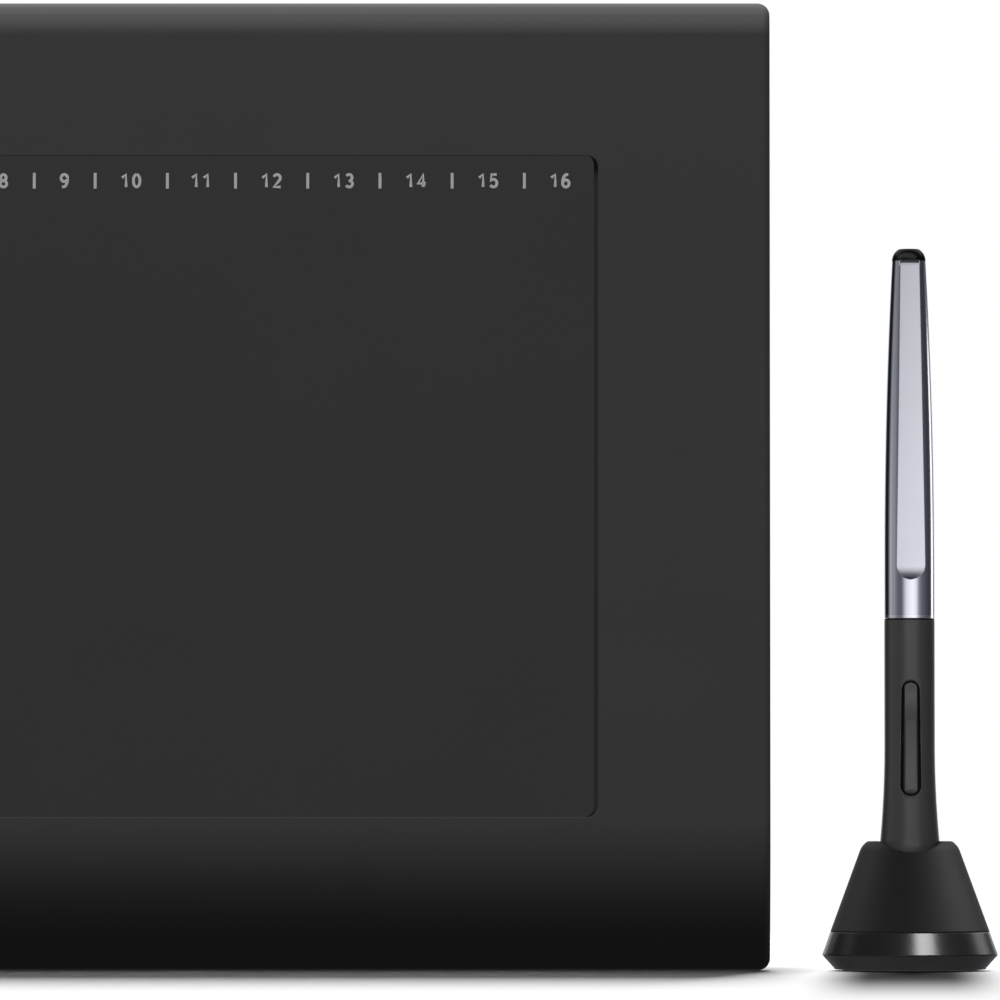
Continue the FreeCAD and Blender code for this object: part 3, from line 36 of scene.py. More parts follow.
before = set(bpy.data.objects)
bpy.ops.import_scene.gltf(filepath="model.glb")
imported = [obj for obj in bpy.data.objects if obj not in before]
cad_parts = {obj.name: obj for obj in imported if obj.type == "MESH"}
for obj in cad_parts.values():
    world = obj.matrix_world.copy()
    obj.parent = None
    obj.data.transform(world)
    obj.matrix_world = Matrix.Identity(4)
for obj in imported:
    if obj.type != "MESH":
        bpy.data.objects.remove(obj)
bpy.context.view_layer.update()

# The tablet, the pen and the stand, as the CAD model has them
TABLET_LEFT, TABLET_RIGHT, BACK_Y = -208.2, 151.8, 4.0
TABLET_MIDDLE = (TABLET_LEFT + TABLET_RIGHT) / 2
SHEET_LEFT = -150.4
KEY_X, KEY_WIDTH, KEY_HEIGHT, KEY_PITCH = -181.2, 16.0, 9.5, 11.5
KEY_GROUP_Z = (177.95, 119.95, 61.95)
STAND_X = 186.4  # the pen's and the stand's upright axis, at Y = 0
PEN_REST = 12.9  # the nib's end above the floor
PEN_TOP = PEN_REST + 166.0
BARREL = 6.25
GRIP_NOSE, GRIP_NOSE_RADIUS = PEN_REST + 7.1, 3.9
GRIP_TOP = PEN_REST + 74.2
SLEEVE_BEND = GRIP_TOP + 13.0  # the sleeve is straight below and drawn in above
SLEEVE_TOP = PEN_REST + 163.0
SLEEVE_WALL = 0.95
CAP_RADIUS, CAP_PLUG = 4.2, 3.15
CLIP_DROP, CLIP_THICK = 0.2, 0.85  # its top below the sleeve's top, and the thickness of its leg
RING_LOW, RING_HIGH = 3.9, 9.6
SLOPE_LOW_RADIUS, SLOPE_HIGH_RADIUS, SLOPE_TALL = 21.8, 12.65, 25.0

# Sizes of the finish
SHEET_FRONT_Y = -4.97
LIP = 0.8  # the bright band at the sleeve's lower end
MERGE = 0.002  # points closer than this become one
NEAR = 0.01  # how close an edge lies to the depth that it is picked by
CASE_ANGLE = 38  # degrees, above which an edge of the case stays a crease
FINE_ROUND = 160  # steps round the pieces whose outline shows most


def only(*pieces):
    """Leaves edit mode and selects these pieces alone, or none; the first becomes the active one."""
    if bpy.context.mode != "OBJECT":
        bpy.ops.object.mode_set(mode="OBJECT")
    bpy.ops.object.select_all(action="DESELECT")
    for piece in pieces:
        piece.select_set(True)
    if pieces:
        bpy.context.view_layer.objects.active = pieces[0]


def apply_place():
    """Takes the place, turn and scale of the selected piece into its mesh."""
    bpy.ops.object.transform_apply(location=True, rotation=True, scale=True)


def edit(piece, mode="VERT"):
    """Enters edit mode on one piece, with nothing selected."""
    only(piece)
    bpy.ops.object.mode_set(mode="EDIT")
    bpy.ops.mesh.select_mode(type=mode)
    bpy.ops.mesh.select_all(action="DESELECT")


def pick(piece, kind, test):
    """In edit mode, selects the vertices, edges or faces that pass the test."""
    mesh = bmesh.from_edit_mesh(piece.data)
    for part in getattr(mesh, kind):
        part.select = bool(test(part))
    mesh.select_flush_mode()
    bmesh.update_edit_mesh(piece.data)


def tidy_mesh():
    """In edit mode, merges doubles and turns every face outwards, then leaves edit mode."""
    bpy.ops.mesh.select_all(action="SELECT")
    bpy.ops.mesh.remove_doubles(threshold=MERGE * MM)
    bpy.ops.mesh.normals_make_consistent(inside=False)
    bpy.ops.object.mode_set(mode="OBJECT")


def draw(name, points):
    """Starts a piece as one vertex and extrudes it from point to point; stays in edit mode."""
    only()
    bpy.ops.mesh.primitive_plane_add(size=MM, location=(0, 0, 0))
    piece = bpy.context.object
    piece.name = name
    bpy.ops.object.mode_set(mode="EDIT")
    bpy.ops.mesh.select_mode(type="VERT")
    bpy.ops.mesh.select_all(action="SELECT")
    bpy.ops.mesh.merge(type="CENTER")
    bpy.ops.transform.translate(value=points[0])
    for here, there in zip(points, points[1:]):
        bpy.ops.mesh.extrude_vertices_move(TRANSFORM_OT_translate={"value": there - here})
    return piece


def turned(name, outline, steps):
    """A round piece: its outline, (radius, height) from point to point, spun about the pen's axis."""
    piece = draw(name, [Vector(((STAND_X + radius) * MM, 0, height * MM)) for radius, height in outline])
    bpy.ops.mesh.select_all(action="SELECT")
    bpy.ops.mesh.spin(steps=steps, angle=2 * math.pi, center=(STAND_X * MM, 0, 0), axis=(0, 0, 1))
    tidy_mesh()
    return piece


def pushed(name, outline, low, high, along):
    """A closed outline, filled and pushed from low to high along one axis.

    Along X the outline is (depth, height), along Y (across, height) and along Z (across, depth).
    """
    place = {"X": lambda a, b: (low, a, b), "Y": lambda a, b: (a, low, b),
             "Z": lambda a, b: (a, b, low)}[along]
    points = [Vector(place(a, b)) * MM for a, b in outline]
    piece = draw(name, points + points[:1])
    bpy.ops.mesh.select_all(action="SELECT")
    bpy.ops.mesh.remove_doubles(threshold=MERGE * MM)
    bpy.ops.mesh.edge_face_add()
    reach = Vector([(high - low) * MM if axis == along else 0 for axis in "XYZ"])
    bpy.ops.mesh.extrude_region_move(TRANSFORM_OT_translate={"value": reach})
    tidy_mesh()
    return piece


def block(name, low, high):
    """A cube set to its two corners."""
    middle = [(a + b) / 2 * MM for a, b in zip(low, high)]
    only()
    bpy.ops.mesh.primitive_cube_add(size=1, location=middle)
    piece = bpy.context.object
    piece.name = name
    piece.scale = [(b - a) * MM for a, b in zip(low, high)]
    apply_place()
    return piece


def rod(name, radius, x, z, low, high, sides=32):
    """A round rod along Y."""
    only()
    bpy.ops.mesh.primitive_cylinder_add(
        vertices=sides, radius=radius * MM, depth=(high - low) * MM,
        location=(x * MM, (low + high) / 2 * MM, z * MM), rotation=(math.pi / 2, 0, 0))
    piece = bpy.context.object
    piece.name = name
    apply_place()
    return piece


def bow(start, end, rise, count):
    """Points of an arc from start to end, whose middle stands off the chord by rise, to its left."""
    run, climb = end[0] - start[0], end[1] - start[1]
    chord = math.hypot(run, climb)
    radius = (chord ** 2 / 4 + rise ** 2) / (2 * rise)
    half = math.asin(chord / 2 / radius)
    ahead, left = (run / chord, climb / chord), (-climb / chord, run / chord)
    centre = [(start[i] + end[i]) / 2 + left[i] * (rise - radius) for i in (0, 1)]
    points = []
    for number in range(count + 1):
        turn = -half + 2 * half * number / count
        points.append(tuple(centre[i] + radius * (left[i] * math.cos(turn) + ahead[i] * math.sin(turn))
                            for i in (0, 1)))
    return points


def long_slot(low, low_radius, high, high_radius, count=14):
    """The outline, from the front, of a slot with full round ends of two sizes."""
    low_centre, high_centre = low + low_radius, high - high_radius
    lean = math.asin((low_radius - high_radius) / (high_centre - low_centre))
    ends = ((low_centre, low_radius, math.pi - lean, math.pi + 2 * lean),
            (high_centre, high_radius, lean, math.pi - 2 * lean))
    points = []
    for centre, radius, start, sweep in ends:
        turns = [start + sweep * number / count for number in range(count + 1)]
        points += [(STAND_X + radius * math.cos(turn), centre + radius * math.sin(turn)) for turn in turns]
    return points


def joined(piece, other, operation):
    """Cuts, adds or keeps what is common with another piece, which is used up."""
    change = piece.modifiers.new("shape", "BOOLEAN")
    change.operation = operation
    change.solver = "EXACT"
    change.object = other
    only(piece)
    bpy.ops.object.modifier_apply(modifier=change.name)
    bpy.data.objects.remove(other)
    return piece


def softened(piece, width, segments=3, angle=40):
    """Rounds the sharp edges of a piece."""
    change = piece.modifiers.new("edges", "BEVEL")
    change.width = width * MM
    change.segments = segments
    change.limit_method = "ANGLE"
    change.angle_limit = math.radians(angle)
    change.use_clamp_overlap = False
    only(piece)
    bpy.ops.object.modifier_apply(modifier=change.name)
    return piece


def runs_back(edge):
    """True for an edge that runs from front to back."""
    return abs(edge.verts[0].co.y - edge.verts[1].co.y) > 0.5 * MM


def at_depth(y):
    """A test for the edges that lie at one depth."""
    return lambda edge: all(abs(vertex.co.y / MM - y) < NEAR for vertex in edge.verts)


def round_edges(piece, test, radius, segments):
    """Rounds the edges that pass the test, and stays in edit mode."""
    edit(piece, "EDGE")
    pick(piece, "edges", test)
    bpy.ops.mesh.bevel(offset=radius * MM, segments=segments)


def copied(piece, place):
    """A copy of a piece, with its own mesh, at a place."""
    copy = piece.copy()
    copy.data = piece.data.copy()
    bpy.context.collection.objects.link(copy)
    copy.location = Vector(place) * MM
    return copy


def repeated(piece, name, places):
    """Copies a piece to each place and joins the copies, without the first."""
    copies = [copied(piece, place) for place in places]
    bpy.data.objects.remove(piece)
    only(*copies)
    bpy.ops.object.join()
    copies[0].name = name
    apply_place()
    return copies[0]


def smoothed_copy(node, name):
    """A merged copy of a CAD piece whose form is right, so that its curves shade as curves."""
    piece = bpy.data.objects.new(name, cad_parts[node].data.copy())
    bpy.context.collection.objects.link(piece)
    only(piece)
    bpy.ops.mesh.customdata_custom_splitnormals_clear()
    edit(piece)
    bpy.ops.mesh.select_all(action="SELECT")
    bpy.ops.mesh.remove_doubles(threshold=MERGE * MM)
    bpy.ops.object.mode_set(mode="OBJECT")
    return piece


def weighted(piece):
    """Lets the large flat faces of a shaded piece set the normals that they share with narrow ones."""
    change = piece.modifiers.new("normals", "WEIGHTED_NORMAL")
    change.keep_sharp = True
    only(piece)
    bpy.ops.object.modifier_apply(modifier=change.name)
    return piece


def finish(piece, body, material, slot, *nodes, angle=35):
    """Shades a finished piece, gives it its material and sets it on its body."""
    only(piece)
    bpy.ops.object.shade_smooth_by_angle(angle=math.radians(angle))
    piece.data.materials.clear()
    piece.data.materials.append(material)
    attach(piece, body)
    if nodes:
        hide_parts(*nodes)
    return piece


# Kinds of node and settings that are used often
MATH, MAP_RANGE, MIX = "ShaderNodeMath", "ShaderNodeMapRange", "ShaderNodeMix"
SIZE_OF, LARGER, TIMES = {"operation": "ABSOLUTE"}, {"operation": "MAXIMUM"}, {"operation": "MULTIPLY"}
BLEND, SOFT = {"data_type": "RGBA"}, {"interpolation_type": "SMOOTHSTEP"}


def hue(code):
    """An sRGB hex value as linear red, green, blue and alpha."""
    parts = [int(code[i:i + 2], 16) / 255 for i in (1, 3, 5)]
    return [c / 12.92 if c <= 0.04045 else ((c + 0.055) / 1.055) ** 2.4 for c in parts] + [1.0]


def add_node(tree, kind, settings=None, links=None):
    """Adds one node with its settings, and links its inputs to outputs of other nodes."""
    made = tree.nodes.new(kind)
    for key, value in (settings or {}).items():
        if isinstance(key, int) or key in made.inputs:
            made.inputs[key].default_value = value
        else:
            setattr(made, key, value)
    for key, (source, output) in (links or {}).items():
        tree.links.new(source.outputs[output], made.inputs[key])
    return made


def new_finish(name, deep, light, patch, grain, depth, rough, specular=0.5, metallic=0.0):
    """A surface whose colour wanders between two close values, with a fine grain raised on it.

    patch and grain are the sizes of the colour patches and of the grain, and depth is how far the
    grain stands up, all in millimetres. rough is its lowest and highest roughness.
    """
    material = bpy.data.materials.new(name)
    material.use_nodes = True
    tree = material.node_tree
    tree.nodes.clear()
    place = add_node(tree, "ShaderNodeTexCoord")
    cloud = add_node(tree, "ShaderNodeTexNoise", {"Scale": 1 / (patch * MM), "Detail": 3.0},
                     {"Vector": (place, "Object")})
    colour = add_node(tree, MIX, {**BLEND, 6: hue(deep), 7: hue(light)}, {0: (cloud, "Fac")})
    pits = add_node(tree, "ShaderNodeTexNoise", {"Scale": 1 / (grain * MM), "Detail": 2.0},
                    {"Vector": (place, "Object")})
    sheen = add_node(tree, MAP_RANGE, {"To Min": rough[0], "To Max": rough[1]},
                     {"Value": (cloud, "Fac")})
    relief = add_node(tree, "ShaderNodeBump", {"Strength": 1.0, "Distance": depth * MM},
                      {"Height": (pits, "Fac")})
    shine = {"Specular IOR Level": specular, "Metallic": metallic}
    surface = add_node(tree, "ShaderNodeBsdfPrincipled", shine,
                       {"Base Color": (colour, 2), "Roughness": (sheen, "Result"),
                        "Normal": (relief, "Normal")})
    add_node(tree, "ShaderNodeOutputMaterial", {}, {"Surface": (surface, "BSDF")})
    return material


# Injection-moulded ABS from a spark-eroded tool: a fine even grain that scatters the light, so the
# face stays flat grey-black and only the turned edges brighten.
case_abs = new_finish("moulded_abs_case", "#303030", "#343434", 40, 0.35, 0.004, (0.7, 0.76), specular=0.15)
# Hard-coated polyester film with a matt, pencil-like tooth, a shade darker than the case.
film = new_finish("matt_polyester_film", "#282828", "#2b2b2b", 60, 0.25, 0.002, (0.6, 0.64), specular=0.2)
# Pad-printed ink: dense and slightly chalky.
printed_ink = new_finish("pad_printed_ink", "#9a9a9a", "#a2a2a2", 4, 0.2, 0.002, (0.6, 0.7))
# Key caps from the same ABS, polished a little more than the case.
key_abs = new_finish("satin_abs_key", "#262626", "#2b2b2b", 12, 0.3, 0.003, (0.38, 0.44))
# Moulded silicone rubber: soft, with hardly any gloss.
rubber = new_finish("moulded_rubber", "#1b1b1b", "#222222", 8, 0.4, 0.01, (0.75, 0.85))
# Zinc-plated steel screw, black passivated.
screw_zinc = new_finish("black_zinc_screw", "#3a3a3c", "#48484b", 1, 0.2, 0.002, (0.34, 0.42), metallic=1.0)
# Nickel-plated pressed steel of the socket and the shield.
nickel = new_finish("nickel_plated_steel", "#a9a9a6", "#b8b8b4", 5, 0.3, 0.001, (0.24, 0.34), metallic=1.0)
# Glass-fibre board under green solder mask, with its weave just felt.
solder_mask = new_finish("green_solder_mask", "#0d4a2c", "#125835", 6, 0.5, 0.002, (0.3, 0.36))
# The pen's own board, under black solder mask.
black_mask = new_finish("black_solder_mask", "#0a0a0b", "#0f0f10", 6, 0.5, 0.002, (0.5, 0.56))
# Black liquid-crystal polymer of the switches and connectors.
part_polymer = new_finish("black_switch_polymer", "#191919", "#202020", 3, 0.2, 0.002, (0.5, 0.6))
# Polyurethane foam strip.
foam = new_finish("grey_foam", "#4d4f52", "#5d5f62", 1.5, 0.5, 0.08, (0.9, 0.95))
# Polyimide flat cable.
cable = new_finish("polyimide_cable", "#a8662a", "#b57232", 6, 0.5, 0.001, (0.3, 0.36))
# Milky polycarbonate light pipe, unlit.
light_pipe = new_finish("milky_light_pipe", "#b9bcbd", "#c6c8c8", 2, 0.2, 0.001, (0.2, 0.25))
# Soft-touch moulded elastomer of the grip: satin, with the faintest skin.
grip_elastomer = new_finish("soft_touch_grip", "#383837", "#3c3c3b", 14, 0.25, 0.0015, (0.24, 0.28),
                            specular=0.42)
# Drawn aluminium, dyed gunmetal and polished: mirror-like along its length.
gunmetal = new_finish("polished_gunmetal", "#d4d5dc", "#dcdde4", 20, 0.4, 0.0002, (0.1, 0.13), metallic=1.0)
# The sleeve's lower lip, turned bright and left unpolished.
turned_lip = new_finish("turned_bright_lip", "#f4f4f6", "#fafafc", 4, 0.15, 0.0004, (0.2, 0.24), metallic=1.0)
# Satin chrome spring steel: the blast before plating spreads each reflection.
satin_chrome = new_finish("satin_chrome_clip", "#edeff4", "#f4f5f9", 10, 0.2, 0.0006, (0.28, 0.34),
                          metallic=1.0)
# Black polycarbonate, polished.
gloss_black = new_finish("polished_black_cap", "#020203", "#050506", 10, 0.5, 0.0002, (0.24, 0.28),
                         specular=0.14)
# Rocker in a harder ABS than the grip, satin.
rocker_abs = new_finish("satin_rocker_abs", "#434343", "#474747", 6, 0.25, 0.001, (0.3, 0.36))
# Acetal nib, waxy.
acetal = new_finish("black_acetal_nib", "#1d1d1d", "#242424", 2, 0.2, 0.002, (0.4, 0.5))
# Stand moulded in a dense black ABS with a fine eroded grain.
stand_abs = new_finish("moulded_abs_stand", "#121212", "#151515", 16, 0.3, 0.003, (0.6, 0.66))
# The base is moulded in the stand's ABS; its paler colour than the cone's is painted light, lifting it as
# more light would, and it is a little less rough.
base_abs_painted_lighter = new_finish("moulded_abs_base_painted_lighter", "#272727", "#2b2b2b", 16, 0.3, 0.003, (0.5, 0.56))
# Clear-lacquered ring.
ring_lacquer = new_finish("lacquered_ring", "#161616", "#191919", 12, 0.4, 0.0003, (0.22, 0.26))
# Cast iron weight, painted.
cast_iron = new_finish("cast_iron_weight", "#2f3133", "#3d3f41", 3, 0.8, 0.05, (0.6, 0.7))
# Sintered ferrite and enamelled copper wire.
ferrite = new_finish("sintered_ferrite", "#3b3c3f", "#47484b", 1, 0.15, 0.004, (0.5, 0.6))
copper = new_finish("enamelled_copper", "#b3582b", "#c2663a", 0.6, 0.2, 0.01, (0.25, 0.3), metallic=1.0)


def make_case_front():
    """The front shell, with the rim round the sheet's recess pressed nearly flat.

    The edges on the flat face round the recess are marked sharp, so that the face shades flat.
    """
    rim_y, rim_near, rim_reach, dip = -4.9, 0.04, 0.5, 0.08
    flat_y, aside, below, above = -4.99, 4, 1.5, 26
    piece = smoothed_copy("front_shell", "case_front")
    low, high = [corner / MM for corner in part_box("drawing_sheet")]
    left, right = [corner.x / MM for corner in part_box("front_shell")]

    def on_rim(vertex):
        x, y, z = [value / MM for value in vertex.co]
        return (abs(y - rim_y) < rim_near and low.x - rim_reach < x < high.x + rim_reach
                and low.z - rim_reach < z < high.z + rim_reach)

    def on_flat_face(vertex):
        x, y, z = [value / MM for value in vertex.co]
        return y < flat_y and left + aside < x < right - aside and low.z - below < z < high.z + above

    edit(piece)
    pick(piece, "verts", on_rim)
    bpy.ops.transform.translate(value=(0, -dip * MM, 0), orient_type="GLOBAL")
    bpy.ops.mesh.select_all(action="DESELECT")
    bpy.ops.mesh.select_mode(type="EDGE")
    pick(piece, "edges", lambda edge: all(on_flat_face(vertex) for vertex in edge.verts))
    bpy.ops.mesh.mark_sharp()
    bpy.ops.object.mode_set(mode="OBJECT")
    return weighted(finish(piece, "root", case_abs, "case_black", "front_shell", angle=CASE_ANGLE))


def make_sheet():
    """The drawing sheet: it fills its recess but for a gap at the right."""
    widened, right_gap, corner_radius, edge_break = 0.28, 0.75, 2.4, 0.04
    low, high = [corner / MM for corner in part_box("drawing_sheet")]
    piece = block("inlaid_sheet", (low.x - widened, SHEET_FRONT_Y, low.z - widened),
                  (high.x - right_gap, high.y, high.z + widened))
    round_edges(piece, runs_back, corner_radius, 10)
    tidy_mesh()
    softened(piece, edge_break, 1, 60)
    return finish(piece, "root", film, "sheet_black", "drawing_sheet")


def make_case_back():
    """The back shell, whose form is the CAD model's."""
    piece = smoothed_copy("back_shell", "case_back")
    return weighted(finish(piece, "root", case_abs, "case_black", "back_shell", angle=CASE_ANGLE))


def oval(across, up, wide, tall, start, end):
    """Points round an oval from one angle to another, in degrees."""
    steps = max(4, round(abs(end - start) / 24))
    turns = [math.radians(start + (end - start) * number / steps) for number in range(steps + 1)]
    return [(across + wide * math.cos(turn), up + tall * math.sin(turn)) for turn in turns]


# Each figure as the path of one stroke, in a box 0.6 wide and 1 tall
FIGURES = (
    oval(0.3, 0.5, 0.22, 0.42, 90, 450), [(0.1, 0.7), (0.36, 0.92), (0.36, 0.08)],
    oval(0.3, 0.68, 0.22, 0.24, 160, -30) + [(0.08, 0.08), (0.54, 0.08)],
    oval(0.29, 0.71, 0.2, 0.21, 150, -80) + oval(0.29, 0.29, 0.23, 0.21, 80, -150),
    [(0.42, 0.08), (0.42, 0.92), (0.06, 0.32), (0.58, 0.32)],
    [(0.5, 0.92), (0.16, 0.92), (0.1, 0.5)] + oval(0.29, 0.34, 0.23, 0.26, 115, -150),
    oval(0.36, 0.36, 0.28, 0.56, 70, 180) + oval(0.3, 0.32, 0.22, 0.24, 180, 540),
    [(0.08, 0.92), (0.54, 0.92), (0.24, 0.08)],
    oval(0.3, 0.71, 0.18, 0.21, -90, 270) + oval(0.3, 0.29, 0.22, 0.21, 90, 450),
    oval(0.3, 0.68, 0.22, 0.24, 0, 360) + oval(0.24, 0.64, 0.28, 0.56, 0, -110),
)


def make_figure(figure, left, middle, tall, thick):
    """One figure: its path turned into a round stroke and pressed flat onto the sheet."""
    pressed, raised = 0.04, 0.005
    low = middle - tall / 2
    piece = draw("figure", [Vector((left + a * tall, 0, low + b * tall)) * MM for a, b in FIGURES[figure]])
    only(piece)
    bpy.ops.object.convert(target="CURVE")
    piece.data.bevel_depth = thick / 2 * MM
    piece.data.bevel_resolution = 1
    piece.data.use_fill_caps = True
    bpy.ops.object.convert(target="MESH")
    piece.scale = (1, pressed, 1)
    piece.location = (0, (SHEET_FRONT_Y - raised) * MM, 0)
    apply_place()
    return piece


def make_numbers():
    """Plain numbers 1 to 16 with a stroke between each two, printed in one row on the sheet."""
    row_z, tall, thick, pitch, nudge = 195.6, 3.7, 0.82, 2.85, 0.22
    half_stroke, half_tall, raised, sunk = 0.36, 1.95, 0.02, 0.01
    one_figure, two_figures, special = 15.1, 17.9, {1: 14.1, 11: 16.9}
    left = SHEET_LEFT
    prints = []
    for number in range(1, 17):
        cell = special.get(number, one_figure if number < 10 else two_figures)
        figures = str(number)
        start = left + (cell - pitch * len(figures)) / 2 + nudge
        prints += [make_figure(int(figure), start + pitch * place, row_z, tall, thick)
                   for place, figure in enumerate(figures)]
        left += cell
        if number < 16:
            prints.append(block("stroke", (left - half_stroke, SHEET_FRONT_Y - raised, row_z - half_tall),
                                (left + half_stroke, SHEET_FRONT_Y + sunk, row_z + half_tall)))
    only(*prints)
    bpy.ops.object.join()
    prints[0].name = "printed_numbers"
    return finish(prints[0], "root", printed_ink, "sheet_black")


def make_keys():
    """One key, with its rounded cap, retaining ears and stem, copied to its twelve places."""
    front, shelf, ear, ear_depth, stem_radius = -5.5, -2.95, 1.2, 1.0, 1.5
    corner_radius, edge_radius, rim, dish_slope, dish_depth = 1.5, 0.35, 0.15, 0.85, 0.12
    half_width, half_height = KEY_WIDTH / 2, KEY_HEIGHT / 2
    stem_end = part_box("press_key_01")[1].y / MM
    cap = block("key", (-half_width, front, -half_height), (half_width, shelf, half_height))
    round_edges(cap, runs_back, corner_radius, 8)
    round_edges(cap, at_depth(front), edge_radius, 4)
    tidy_mesh()
    edit(cap, "FACE")
    pick(cap, "faces", lambda face: face.normal.y < -0.999)
    bpy.ops.mesh.inset(thickness=rim * MM, depth=0.0)
    bpy.ops.mesh.inset(thickness=dish_slope * MM, depth=-dish_depth * MM)
    tidy_mesh()
    ears = block("ears", (-half_width - ear, shelf, -half_height),
                 (half_width + ear, shelf + ear_depth, half_height))
    softened(ears, 0.15, 2)
    stem = rod("stem", stem_radius, 0, 0, shelf + ear_depth, stem_end)
    only(cap, ears, stem)
    bpy.ops.object.join()
    heights = [group_z + (1.5 - row) * KEY_PITCH for group_z in KEY_GROUP_Z for row in range(4)]
    for number, height in enumerate(heights, 1):
        copy = copied(cap, (KEY_X, 0, height))
        copy.name = "key_cap_%02d" % number
        only(copy)
        apply_place()
        node = "press_key_%02d" % number
        finish(copy, node, key_abs, "key_black", node)
    bpy.data.objects.remove(cap)


def make_screws():
    """A pan head in its sunk hole, with a cross recess, copied to its ten places."""
    head_low, head_high, head_radius, head_round = BACK_Y - 2.4, BACK_Y - 1.2, 2.1, 0.45
    arm, half_arm, arm_depth = 1.1, 0.22, 0.7
    shank_radius, shank_length = 1.0, 3.9
    outer, inner, rows, middle_row = 172.0, 60, (26.0, 222.0), 120
    head = rod("screw", head_radius, 0, 0, head_low, head_high, 40)
    round_edges(head, at_depth(head_high), head_round, 4)
    tidy_mesh()
    for wide, tall in ((arm, half_arm), (half_arm, arm)):
        cross = block("cross", (-wide, head_high - arm_depth, -tall), (wide, head_high + 1, tall))
        joined(head, cross, "DIFFERENCE")
    shank = rod("shank", shank_radius, 0, 0, head_low - shank_length, head_low, 24)
    only(head, shank)
    bpy.ops.object.join()
    places = [(TABLET_MIDDLE + across, 0, up) for up in rows for across in (-outer, -inner, inner, outer)]
    places += [(TABLET_MIDDLE + across, 0, middle_row) for across in (-outer, outer)]
    piece = repeated(head, "pan_head_screws", places)
    return finish(piece, "root", screw_zinc, "screw_steel", "case_screws", angle=30)


def make_feet():
    """A long rubber foot with full round ends and a softened rim, copied to its six places."""
    half_straight, radius, seat_y, foot_y, rim_round = 15.0, 4.0, 3.4, 5.0, 0.4
    rows, columns = (18.0, 222.0), (-140, 0, 140)
    outline = []
    for side, start in ((half_straight, -math.pi / 2), (-half_straight, math.pi / 2)):
        turns = [start + math.pi * number / 12 for number in range(13)]
        outline += [(side + radius * math.cos(turn), radius * math.sin(turn)) for turn in turns]
    foot = pushed("foot", outline, seat_y, foot_y, "Y")
    round_edges(foot, at_depth(foot_y), rim_round, 3)
    tidy_mesh()
    places = [(TABLET_MIDDLE + across, 0, up) for up in rows for across in columns]
    piece = repeated(foot, "long_rubber_feet", places)
    return finish(piece, "root", rubber, "rubber_black", "rubber_feet")


def sleeve_radius(height, inset=0.0):
    """Radius of the sleeve at a height above the floor: straight at first, then drawn in."""
    if height <= SLEEVE_BEND:
        return BARREL - inset
    drop = BARREL - CAP_RADIUS
    bend = ((SLEEVE_TOP - SLEEVE_BEND) ** 2 + drop ** 2) / (2 * drop)
    return BARREL - bend + math.sqrt((bend - inset) ** 2 - (height - SLEEVE_BEND) ** 2)


def make_grip():
    """The grip, flared towards its nose, with the rocker's slot, and the seal between it and the sleeve."""
    base = PEN_REST
    widest, widest_z, straight_z = 7.4, 18.6, 43.0
    groove, groove_low, seal_radius = BARREL - 0.6, GRIP_TOP - 0.32, BARREL - 0.06
    tenon, bore, nose_bore = 5.2, 4.75, 3.1
    nose = bow((GRIP_NOSE_RADIUS, GRIP_NOSE), (widest, base + widest_z), -0.85, 16)
    rise, run = widest - BARREL, straight_z - widest_z
    bend = (run ** 2 + rise ** 2) / (2 * rise)
    flare = [(BARREL + bend - math.sqrt(bend ** 2 - (straight_z - z) ** 2), base + z)
             for z in [widest_z + run * number / 16 for number in range(1, 17)]]
    rings = [(BARREL, base + z) for z in (47.0, 51.0, 55.0, 59.3, 60.0, 64.0, 69.0)]
    outline = nose + flare + rings + [
        (BARREL, GRIP_TOP - 1.0), (BARREL, GRIP_TOP - 0.4), (BARREL - 0.08, groove_low), (groove, groove_low),
        (groove, GRIP_TOP), (tenon, GRIP_TOP), (tenon, GRIP_TOP + 8.0), (4.5, GRIP_TOP + 8.0),
        (4.5, GRIP_TOP - 1.0), (bore, GRIP_TOP - 2.0), (bore, base + 17.1), (nose_bore, base + 14.1),
        (nose_bore, GRIP_NOSE), (GRIP_NOSE_RADIUS, GRIP_NOSE)]
    piece = turned("grip_barrel", outline, 128)
    slot = pushed("slot", long_slot(base + 30.3, 2.6, base + 58.8, 2.25), -16.0, 0.0, "Y")
    joined(piece, slot, "DIFFERENCE")
    round_edges(piece, is_slot_rim, 0.12, 2)
    tidy_mesh()
    finish(piece, "pen", grip_elastomer, "grip_black", "pen_grip")
    seal = turned("grip_seal", [(groove, groove_low), (seal_radius, groove_low), (seal_radius, GRIP_TOP),
                                (groove, GRIP_TOP), (groove, groove_low)], 128)
    return finish(seal, "pen", gloss_black, "grip_black")


def is_slot_rim(edge):
    """True for the sharp edges where the slot breaks the grip's outer surface."""
    crease, near_skin, low, high = 0.7, -5.4, PEN_REST + 29.0, PEN_REST + 60.0
    if len(edge.link_faces) != 2 or edge.calc_face_angle(0) < crease:
        return False
    middle = (edge.verts[0].co + edge.verts[1].co) / 2 / MM
    return middle.y < near_skin and low < middle.z < high


